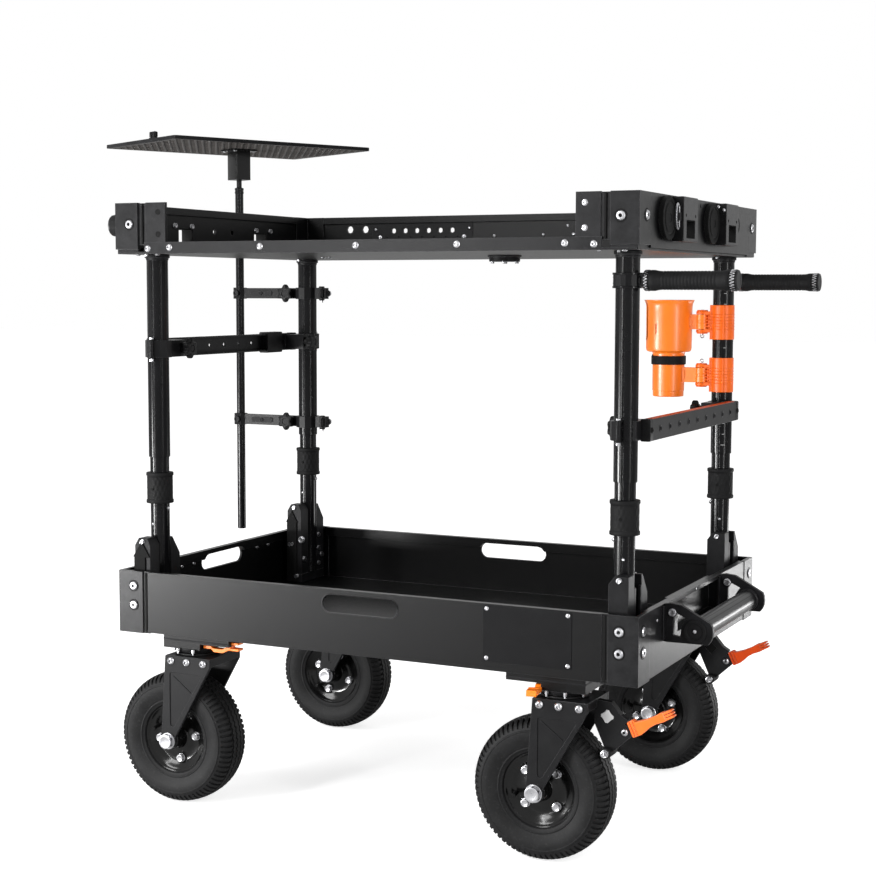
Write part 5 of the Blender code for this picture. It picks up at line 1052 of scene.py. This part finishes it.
def make_cup():
    """The stepped cup with its strap, and the two hinge clamps on the post."""
    cup = bmesh.new()
    profile = [(995.0, 51.4), (993.6, 51.5), (991.0, 50.0), (987.0, 48.4), (981.0, 47.6), (972.0, 47.5),
            (896.0, 47.0), (891.0, 46.0), (888.6, 43.4), (888.0, 40.0), (888.0, 34.6), (886.4, 33.4),
            (884.0, 33.0), (808.0, 32.8), (807.4, 31.9), (797.2, 31.8), (796.0, 30.8), (795.6, 28.0),
            (795.6, 0.01), (799.0, 0.01), (799.0, 29.6), (891.0, 30.0), (891.2, 43.0), (893.0, 44.2),
            (980.0, 44.8), (988.0, 46.2), (994.6, 50.6)]
    lathe(cup, (CUP_X, POST_Y, 0), Z, profile, 96, closed=True)
    cutter = bmesh.new()
    outline = [(13, 1010), (-13, 1010)] + corner_arc((0, 925), 13, 180, 360, 14)
    mouth = Vector((-0.895, -0.446, 0)).normalized()
    prism(cutter, outline, Vector((CUP_X, POST_Y, 0)) + mouth * 30, mouth.cross(Z), Z, -40)
    cup = carved(cup, cutter)
    cutter = bmesh.new()
    slit = Vector((-0.28, -0.96, 0)).normalized()
    across = slit.cross(Z)
    prism(cutter, rounded(2.6, 21, 1.2, 3, 0, 936.5), Vector((CUP_X, POST_Y, 0)) + slit * 38, across, Z, -14)
    cup = carved(cup, cutter)
    for _, _, z, _ in KNUCKLES:
        start = 46.2 if z > 900 else 31.8
        block(cup, (CUP_X + start, POST_Y - 8.6, z - KNUCKLE_HALF), (HINGE_X - 3.4, POST_Y + 8.6,
                z + KNUCKLE_HALF))
        block(cup, (CUP_X + start, POST_Y - 10.6, z - 9.0), (CUP_X + start + 5.5, POST_Y + 10.6, z + 9.0))
        lathe(cup, (HINGE_X, POST_Y, z), Z, [(-15.3, 3.4), (-15.3, 12.6), (-14.5, 13.4), (-2.6, 13.4),
                (-2.0, 12.6), (2.0, 12.6), (2.6, 13.4), (14.5, 13.4), (15.3, 12.6), (15.3, 3.4)], 40,
                closed=True)
    piece = build("cup_body", cup, ORANGE, "cup", smooth=35)
    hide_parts("cup_holder")

    bm = bmesh.new()
    lathe(bm, (CUP_X, POST_Y, 871.0), Z, band(33.2, 35.7, -9.0, 9.0, 0.8, 0.7), 64, closed=True)
    side = Vector((-0.93, -0.37, 0))
    prism(bm, rounded(16, 19, 2.5), Vector((CUP_X, POST_Y, 873.5)) + side * 33.8, side.cross(Z), Z, 4.2)
    build("cup_strap", bm, GRIP, "cup", bevel=0.5)

    clamps, pins = bmesh.new(), bmesh.new()
    for name, z, hinge_z, eye_side in KNUCKLES:
        bm = bmesh.new()
        lathe(bm, (POST_X, POST_Y, z), Z, band(21.3, 22.7, -35, 35, 0.8, 0.7), 72, closed=True)
        # The flange where the shell's halves meet, and the seam opposite
        for sy in (-1, 1):
            ys = sorted((POST_Y + sy * 1.0, POST_Y + sy * 11.5))
            block(bm, (POST_X - 24.5, ys[0], z - 35.0), (POST_X - 18.5, ys[1], z + 35.0))
            block(bm, (POST_X + 6.0, POST_Y + sy * 21.2 - 1.6, z - 34.6), (POST_X + 8.4,
                    POST_Y + sy * 21.2 + 1.6, z + 34.6))
        for sign in (-1, 1):
            low, high = sorted((hinge_z + sign * 15.9, hinge_z + sign * 21.5))
            block(bm, (HINGE_X + 2.0, POST_Y - 10.4, low), (POST_X - 22.0, POST_Y + 10.4, high))
            lathe(bm, (HINGE_X, POST_Y, (low + high) / 2), Z, band(3.2, 12.6, -2.8, 2.8, 0.6, 0.6), 40,
                    closed=True)
            lathe(bm, (HINGE_X, POST_Y, hinge_z), Z * sign, [(21.2, 0), (21.2, 11.2), (23.4, 11.2),
                    (24.2, 10.2), (24.2, 0)], 36)
        block(bm, (HINGE_X + 14.8, POST_Y - 10.4, hinge_z - 16.5), (POST_X - 22.0, POST_Y + 10.4,
                hinge_z + 16.5))
        # Ribs that run from the knuckle round the shell
        for k in range(6):
            level = hinge_z - 15.0 + 6.0 * k
            for sy in (-1, 1):
                ys = sorted((POST_Y + sy * 10.2, POST_Y + sy * 11.9))
                block(bm, (HINGE_X + 8.0, ys[0], level - 0.9), (POST_X - 21.0, ys[1], level + 0.9))
            lathe(bm, (POST_X, POST_Y, level), Z, [(-0.9, 22.0), (-0.6, 23.4), (0.6, 23.4), (0.9, 22.0)], 72,
                    closed=True)
        piece = build("cup_clamp_shell_" + name, bm, CLAMP, "deck", smooth=35, bevel=0.25)
        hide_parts("cup_clamp_" + name)
        for k in range(4):
            level = hinge_z - 12.0 + 8.0 * k
            socket_screw(clamps, (HINGE_X + 17.5, POST_Y - 11.4, level), -Y, 1.9, 1.2)
        rod(pins, (HINGE_X, POST_Y, hinge_z), Z, 2.8, -24.8, 24.8)
        level = hinge_z + eye_side * 24.6
        lathe(pins, (HINGE_X, POST_Y, level), Z * eye_side, [(-1, 0), (-1, 3.2), (1.6, 3.2), (3.0, 1.6),
                (3.0, 0)], 16)
        ring_eye(pins, (HINGE_X, POST_Y, level + eye_side * 4.4), 3.6, 1.0)
    build("cup_clamp_screws", clamps, CLAMP, "deck")
    build("cup_hinge_pins", pins, STEEL, "deck")


# Laptop tray
def make_laptop_tray():
    """The perforated tray with its rim, head block and two ribbed stops."""
    u, v = turned(63.3, Y)
    pole = Vector((POLE_X, POST_Y, 0))
    pitch, flat, half_length, half_width, solid = 17.0, 14.4, 242, 150, 29
    row_step = pitch * math.cos(math.pi / 6)
    corner = flat / 2 / math.cos(math.pi / 6)
    rows = int(half_width // row_step)
    holes = []
    for j in range(-rows, rows + 1):
        b = j * row_step
        for i in range(-16, 17):
            a = i * pitch + (pitch / 2 if j % 2 else 0.0)
            if abs(a) > half_length or (abs(a) < solid and abs(b) < solid):
                continue
            holes.append([(a + corner * math.sin(math.pi / 3 * k), b + corner * math.cos(math.pi / 3 * k))
                    for k in range(6)])
    bm = bmesh.new()
    pierced(bm, rounded(513, 328, 7.5, 4), holes, pole + Z * 1337.6, u, v, 2.4)
    build("laptop_tray_mesh", bm, MESH, "laptop_tray", smooth=25)
    bm = bmesh.new()
    outer, inner = rounded(515, 330, 8.5, 6), rounded(508, 323, 6.0, 6)
    pierced(bm, outer, [inner], pole + Z * 1337.5, u, v, 8.0)
    piece = build("laptop_tray_rim", bm, CAST, "laptop_tray", bevel=0.9)
    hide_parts("laptop_tray")
    # Head block with its clamp knob
    bm = bmesh.new()
    pierced(bm, rounded(40, 40, 3.2, 5), [ring_of(0, 0, 7.2, 24)], pole + Z * 1267.6, u, v, 66.0)
    prism(bm, rounded(64, 64, 5, 4), pole + Z * 1333.6, u, v, 4.0)
    build("laptop_head", bm, GLOSS, "laptop_tray", bevel=1.4)
    bm = bmesh.new()
    for a, b in ((-24, -24), (24, -24), (24, 24), (-24, 24)):
        socket_screw(bm, pole + u * a + v * b + Z * 1333.6, -Z, 4.2, 2.6)
        socket_screw(bm, pole + u * a + v * b + Z * 1340.0, Z, 4.2, 1.8)
    build("laptop_head_screws", bm, STEEL, "laptop_tray")
    bm = bmesh.new()
    star(bm, pole + v * 20.0 + Z * 1282.5, v, 10.0, 13.0, neck=0.55)
    build("laptop_head_knob", bm, KNOB, "laptop_tray")
    # Two ribbed stops on one end
    stops, screws = bmesh.new(), bmesh.new()
    for b in (-69.0, -56.0):
        spot = pole - u * 253.5 + v * b
        lathe(stops, spot, Z, [(1345.0, 0), (1345.0, 3.6), (1347.4, 3.6), (1347.6, 5.2), (1348.4, 5.6),
                (1358.6, 5.6), (1359.4, 5.0), (1359.6, 0)], 28)
        for k in range(10):
            rib = spot + turned(36 * k, Y)[0] * 5.2
            tube(stops, [rib + Z * 1348.6, rib + Z * 1358.4], 0.9, 6)
        socket_screw(screws, spot + Z * 1359.6, Z, 2.6, 1.2)
    middle = pole - u * 253.5 - v * 62.5
    prism(stops, rounded(9, 30, 2, 3), middle + Z * 1345.2, u, v, 1.6)
    socket_screw(screws, middle + Z * 1346.8, Z, 2.4, 1.6)
    build("laptop_stops", stops, KNOB, "laptop_tray")
    build("laptop_stop_screws", screws, STEEL, "laptop_tray")


# Upper push handles
def make_handles():
    """The swing-out handles: ribbed grip, end rings with silver teeth, cap and collar."""
    level = 1031.0
    for name, tag in (("front", "fr"), ("rear", "rr")):
        post_x, y = POST_X, CORNERS[tag][1] * POST_Y
        body = "handle_" + name
        grip = bmesh.new()
        profile = [(42.4, 10.6), (42.4, 17.2), (43.2, 17.9), (50.0, 17.9), (53.0, 17.2), (57.0, 16.4),
                (60.0, 16.1)]
        for k in range(17):
            start = 62.0 + 6.0 * k
            profile += [(start, 16.1), (start + 0.8, 15.5), (start + 2.2, 15.5), (start + 3.0, 16.1)]
        profile += [(166.0, 16.1), (170.0, 16.6), (174.0, 17.6), (180.8, 17.9), (181.6, 17.2), (181.6, 10.6)]
        lathe(grip, (post_x, y, level), X, profile, 56, closed=True)
        piece = build("handle_grip_fine_" + name, grip, GRIP, body, smooth=50)
        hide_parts("handle_grip_" + tag)
        rings, teeth = bmesh.new(), bmesh.new()
        for start, wide in ((31.8, 10.0), (182.0, 12.2)):
            lathe(rings, (post_x, y, level), X, band(10.4, 18.0, start, start + wide, 0.8, 0.8), 56,
                    closed=True)
            # Silver zigzag set into the black ring
            for k in range(22):
                for way in (-1, 1):
                    ends = []
                    for share in (0.0, 1.0):
                        angle = 2 * math.pi * (k + 0.5 * share * way) / 22
                        out = Y * math.cos(angle) + Z * math.sin(angle)
                        along = start + 2.0 + (wide - 4.0) * share
                        ends.append((Vector((post_x + along, y, level)) + out * 17.9, out))
                    (a, out_a), (b, out_b) = ends
                    side = (b - a).normalized().cross((out_a + out_b).normalized())
                    prism(teeth, [(0, -0.5), ((b - a).length, -0.5), ((b - a).length, 0.5), (0, 0.5)], a,
                          (b - a).normalized(), side, -0.5 if (b - a).cross(side).dot(out_a) < 0 else 0.5)
        build("handle_rings_" + name, rings, KNOB, body)
        build("handle_teeth_" + name, teeth, STEEL, body)
        bm = bmesh.new()
        lathe(bm, (post_x, y, level), X, [(193.8, 0), (193.8, 17.2), (195.2, 17.2), (195.8, 16.0),
                (195.8, 12.6), (195.4, 12.0), (195.4, 0)], 44)
        build("handle_cap_" + name, bm, PLATE, body)
        # Collar round the post with its neck and two screws
        bm, steel = bmesh.new(), bmesh.new()
        for low, high in ((-13.4, -9.6), (9.6, 13.4)):
            lathe(bm, (post_x, y, level), Z, band(21.6, 26.5, low, high, 0.6, 0.5), 56, closed=True)
        lathe(bm, (post_x, y, level), X, [(23.5, 6), (23.5, 12.6), (26.5, 12.6), (27.5, 11.4), (31.4, 11.4),
                (31.4, 6)], 40, closed=True)
        build("handle_collar_" + name, bm, TUBE, body)
        for z in (-5.2, 5.2):
            socket_screw(steel, (post_x - 25.0, y, level + z), -X, 2.8, 1.8)
        build("handle_collar_screws_" + name, steel, STEEL, body)


make_cup()
make_laptop_tray()
make_handles()


# Locking levers, brake pedals and the square end in each brake plate
LEVER_Z = 319.0
LEVER_ANGLE = {"fl": 0, "fr": -80, "rl": 0, "rr": 180}


def make_lever(tag):
    """A flat bar that steps up to a two-pronged thumb end. The near right one ends in a low solid block."""
    sx, sy = CORNERS[tag]
    pivot = Vector((sx * 351.0, sy * 334.9, LEVER_Z))
    u, v = turned(LEVER_ANGLE[tag], Y)
    bm = bmesh.new()
    flat = tag == "fr"
    rise, half = (0.4, 6.4) if flat else (6.5, 8.0)
    path = [(-6.5, -3), (12, -3), (18, -8.5), (38, -8.5), (58, rise - 5.5), (60, rise - 5.5), (60, rise + 2),
            (56, rise + 2), (37, -1.2), (16, -1.2), (11, 3), (-6.5, 3)]
    prism(bm, path, pivot + v * 6.5, u, Z, 13.0)
    block_at = pivot + u * 54 + Z * rise
    prism(bm, [(0, -half), (4.0, -half), (4.0, half), (0, half)], block_at + v * 9, u, Z, 18.0)
    for low, high in ((-5.4, 5.4),) if flat else ((-8.0, -3.8), (3.8, 8.0)):
        prism(bm, [(3.5, low), (22.0, low), (22.0, high), (3.5, high)], block_at + v * 9, u, Z, 18.0)
    lever = build("lever_fine_" + tag, bm, ORANGE, "lever_" + tag, bevel=0.6)
    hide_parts("lock_lever_" + tag)


def make_pedal(tag, sy):
    """A ridged base that flares round the pivot, a waisted arm and a three-pronged tip."""
    u, v = turned(27)
    pivot = Vector((CASTER_X + PEDAL_X, sy * CASTER_Y, PEDAL_Z))
    # The far pedal takes the darker red as painted shade on the same orange pedal.
    finish = PEDAL if tag == "fr" else RED_AND_PEDAL_SHADE
    bm = bmesh.new()
    arm = [(11, -14.5), (13, 14.5), (23, 14.5), (25.5, 9.5), (44, 6.6), (62, 6.2), (74, 7.6), (80, 7.6),
            (80, -8.4), (74, -8.6), (60, -7.2), (46, -8.6), (34, -12.6), (27, -14.5)]
    prism(bm, arm, pivot - Y * 7.5, u, v, -15.0)
    for low in (-8.0, -2.9, 2.2):
        prism(bm, [(79, low), (95, low + 0.5), (97, low + 1.6), (96, low + 3.6), (94, low + 4.2),
                (79, low + 4.4)], pivot - Y * 7.5, u, v, -15.0)
    for side in (-1, 1):
        for start in (11.0, 16.6):
            prism(bm, [(start, -13.6), (start + 3.6, -13.6), (start + 4.6, 13.8), (start + 1.0, 13.8)],
                  pivot + Y * (side * 7.4), u, v, 2.0 * -side)
    tang = corner_arc((0, 0), 8, 60, 300, 8) + [(13, -7), (13, 7)]
    prism(bm, tang, pivot - Y * 2.5, u, v, -5.0)
    pedal = build("pedal_fine_" + tag, bm, finish, "pedal_" + tag, bevel=0.7)
    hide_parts("brake_pedal_" + tag)


def make_brake_square(tag, sy):
    """The fill of the square window in the brake plate, and on the near one a pale square face. The far one's
    fill is dark as painted shade.
    """
    bm = bmesh.new()
    centre = Vector((CASTER_X + 83, sy * CASTER_Y, 271))
    squares = ((-42, 8.9, 6.8, 13.6), (33, 8.8, 7.7, 1.2))
    for degrees, half, near, thick in squares if tag == "fr" else squares[:1]:
        u, v = turned(degrees)
        prism(bm, [(-half, -half), (half, -half), (half, half), (-half, half)], centre - Y * near, u, v,
                -thick)
    # The far square is dark as painted shade on the same part as the near pale one.
    build("brake_square_" + tag, bm, PALE if tag == "fr" else DARK_AND_SHADE, "caster_" + tag, bevel=0.3)


for tag in CORNERS:
    make_lever(tag)
for tag, sy in (("fr", -1), ("rr", 1)):
    make_pedal(tag, sy)
    make_brake_square(tag, sy)


# Post brackets
def stack(bm, levels):
    """A solid between rectangles (z, x0, x1, y0, y1), one over the other."""
    rings = [[bm.verts.new(point) for point in ((x0, y0, z), (x1, y0, z), (x1, y1, z), (x0, y1, z))]
             for z, x0, x1, y0, y1 in levels]
    skin(bm, rings)
    bm.faces.new(rings[0][::-1])
    bm.faces.new(rings[-1])


def make_bracket(tag, sx, sy):
    """Two cheeks on a thick foot: the near one flat-faced, the far one sloped at the top."""
    base, seat, low, high = 343.9, 363.6, 483.0, 519.0
    x0, x1 = sorted((sx * (POST_X - 11.0), sx * (POST_X + 26.0)))
    y = sy * POST_Y
    near, far = y - BRACKET_HALF, y + BRACKET_HALF
    cut0, cut1 = (11.0, 1.0) if sx > 0 else (8.0, 8.0)
    bm = bmesh.new()
    block(bm, (x0, near, base), (x1, far, seat))
    stack(bm, [(seat, x0, x1, near, y - 19.9), (509.0, x0, x1, near, y - 19.9),
               (523.5, x0 + cut0, x1 - cut1, near + 2.0, y - 19.9)])
    stack(bm, [(seat, x0, x1, y + 19.9, far), (low, x0, x1, y + 19.9, far), (high, x0 + 1.0, x1 - 1.0,
            y + 19.9, far - 24.0)])
    # Lips that narrow the slot in the outer face
    lip0, lip1 = sorted((sx * (POST_X + 20.2), sx * (POST_X + 26.0)))
    block(bm, (lip0, y - 20.0, seat - 1), (lip1, y - 10.0, 500.0))
    block(bm, (lip0, y + 15.0, seat - 1), (lip1, y + 20.0, 500.0))
    piece = build("bracket_fine_" + tag, bm, CAST, "base", bevel=1.0)
    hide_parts("post_bracket_" + tag)
    if sx < 0:
        # Dark plate with an arrow-shaped head on the near cheek
        bm = bmesh.new()
        half = 20.0 if sy < 0 else 15.0
        middle, foot, tip = (-498.6, 486.0, 517.0) if sy < 0 else (-503.2, 483.0, 509.5)
        prism(bm, [(-515.8, 345.0), (-490.0, 345.0), (-490.0, foot), (middle + half, foot), (middle, tip),
                (middle - half, foot), (-515.8, foot)], (0, near - 0.2, 0), X, Z, 2.6)
        build("bracket_arrow_" + tag, bm, DARK_AND_SHADE, "base", bevel=0.5)


for tag, (sx, sy) in CORNERS.items():
    make_bracket(tag, sx, sy)


# Floor, light and camera
def set_stage():
    """A pale floor, a white surround, soft lamps and the camera at the photograph's angle."""
    floor_mesh = bpy.data.meshes.new("floor")
    floor_mesh.from_pydata([(-30, -30, -0.0005), (30, -30, -0.0005), (30, 30, -0.0005), (-30, 30, -0.0005)],
            [], [(0, 1, 2, 3)])
    floor = bpy.data.objects.new("floor", floor_mesh)
    scene.collection.objects.link(floor)
    white = bpy.data.materials.new("floor_white")
    white.use_nodes = True
    shader = white.node_tree.nodes["Principled BSDF"]
    shader.inputs["Base Color"].default_value = (0.94, 0.94, 0.94, 1)
    shader.inputs["Roughness"].default_value = 0.9
    shader.inputs["Specular IOR Level"].default_value = 0.1
    path = white.node_tree.nodes.new("ShaderNodeLightPath")
    glow = white.node_tree.nodes.new("ShaderNodeEmission")
    glow.inputs["Strength"].default_value = FLOOR_GLOW
    both = white.node_tree.nodes.new("ShaderNodeAddShader")
    choice = white.node_tree.nodes.new("ShaderNodeMixShader")
    join = white.node_tree.links.new
    join(shader.outputs[0], both.inputs[0])
    join(glow.outputs[0], both.inputs[1])
    join(path.outputs["Is Camera Ray"], choice.inputs[0])
    join(shader.outputs[0], choice.inputs[1])
    join(both.outputs[0], choice.inputs[2])
    join(choice.outputs[0], white.node_tree.nodes["Material Output"].inputs["Surface"])
    floor_mesh.materials.append(white)

    world = bpy.data.worlds.new("studio")
    scene.world = world
    world.use_nodes = True
    nodes, links = world.node_tree.nodes, world.node_tree.links
    backdrop = nodes["Background"]
    backdrop.inputs["Color"].default_value = (1, 1, 1, 1)
    backdrop.inputs["Strength"].default_value = 1.0
    room = nodes.new("ShaderNodeBackground")
    room.inputs["Color"].default_value = (1, 1, 1, 1)
    room.inputs["Strength"].default_value = ROOM_LIGHT
    path = nodes.new("ShaderNodeLightPath")
    seen = path.outputs["Is Camera Ray"]
    for kind in ("Is Transmission Ray", "Is Glossy Ray"):
        either = nodes.new("ShaderNodeMath")
        either.operation = "MAXIMUM"
        links.new(seen, either.inputs[0])
        links.new(path.outputs[kind], either.inputs[1])
        seen = either.outputs[0]
    choice = nodes.new("ShaderNodeMixShader")
    links.new(seen, choice.inputs[0])
    links.new(room.outputs[0], choice.inputs[1])
    links.new(backdrop.outputs[0], choice.inputs[2])
    links.new(choice.outputs[0], nodes["World Output"].inputs["Surface"])

    for name, place, aim, wide, tall, power in LAMPS:
        lamp = bpy.data.lights.new(name, "AREA")
        lamp.shape = "RECTANGLE"
        lamp.size, lamp.size_y = wide, tall
        lamp.energy = power
        holder = bpy.data.objects.new(name, lamp)
        holder.location = Vector(place) + SHIFT
        holder.rotation_euler = (Vector(aim) - Vector(place)).to_track_quat("-Z", "Y").to_euler()
        scene.collection.objects.link(holder)

    lens = bpy.data.cameras.new("camera")
    lens.sensor_width = 36.0
    lens.lens = FOCAL
    lens.clip_end = 100
    camera = bpy.data.objects.new("camera", lens)
    scene.collection.objects.link(camera)
    forward = Vector((-math.sin(YAW) * math.cos(PITCH), math.cos(YAW) * math.cos(PITCH), -math.sin(PITCH)))
    right = Vector((math.cos(YAW), math.sin(YAW), 0))
    up = right.cross(forward)
    side = right * math.cos(ROLL) + up * math.sin(ROLL)
    top = up * math.cos(ROLL) - right * math.sin(ROLL)
    camera.matrix_world = Matrix.Translation(EYE + SHIFT) @ Matrix((side, top,
            -forward)).transposed().to_4x4()
    scene.camera = camera
    scene.view_settings.view_transform = "Standard"


FOCAL, YAW, PITCH, ROLL = 68.44, 0.451636, 0.0880578, 0.00238893
EYE = Vector((1.45268, -3.02428, 1.01220))
ROOM_LIGHT = 0.42
FLOOR_GLOW = 0.68
LAMPS = (
    ("key", (-2.2, -3.4, 3.0), (0, 0, 0.7), 1.6, 1.6, 130),
    ("sheen_left", (-2.75, -2.85, 0.22), (-0.5, -0.3, 0.42), 0.9, 0.36, 130),
    ("strip_right", (2.7, -1.3, 1.3), (0.2, 0, 0.8), 0.12, 2.6, 42),
    ("strip_left", (-1.3, -3.2, 1.3), (0, 0, 0.8), 0.12, 2.6, 42),
    ("rear", (1.25, 1.6, 0.20), (0.55, -0.05, 0.40), 0.6, 0.3, 7),
)
set_stage()
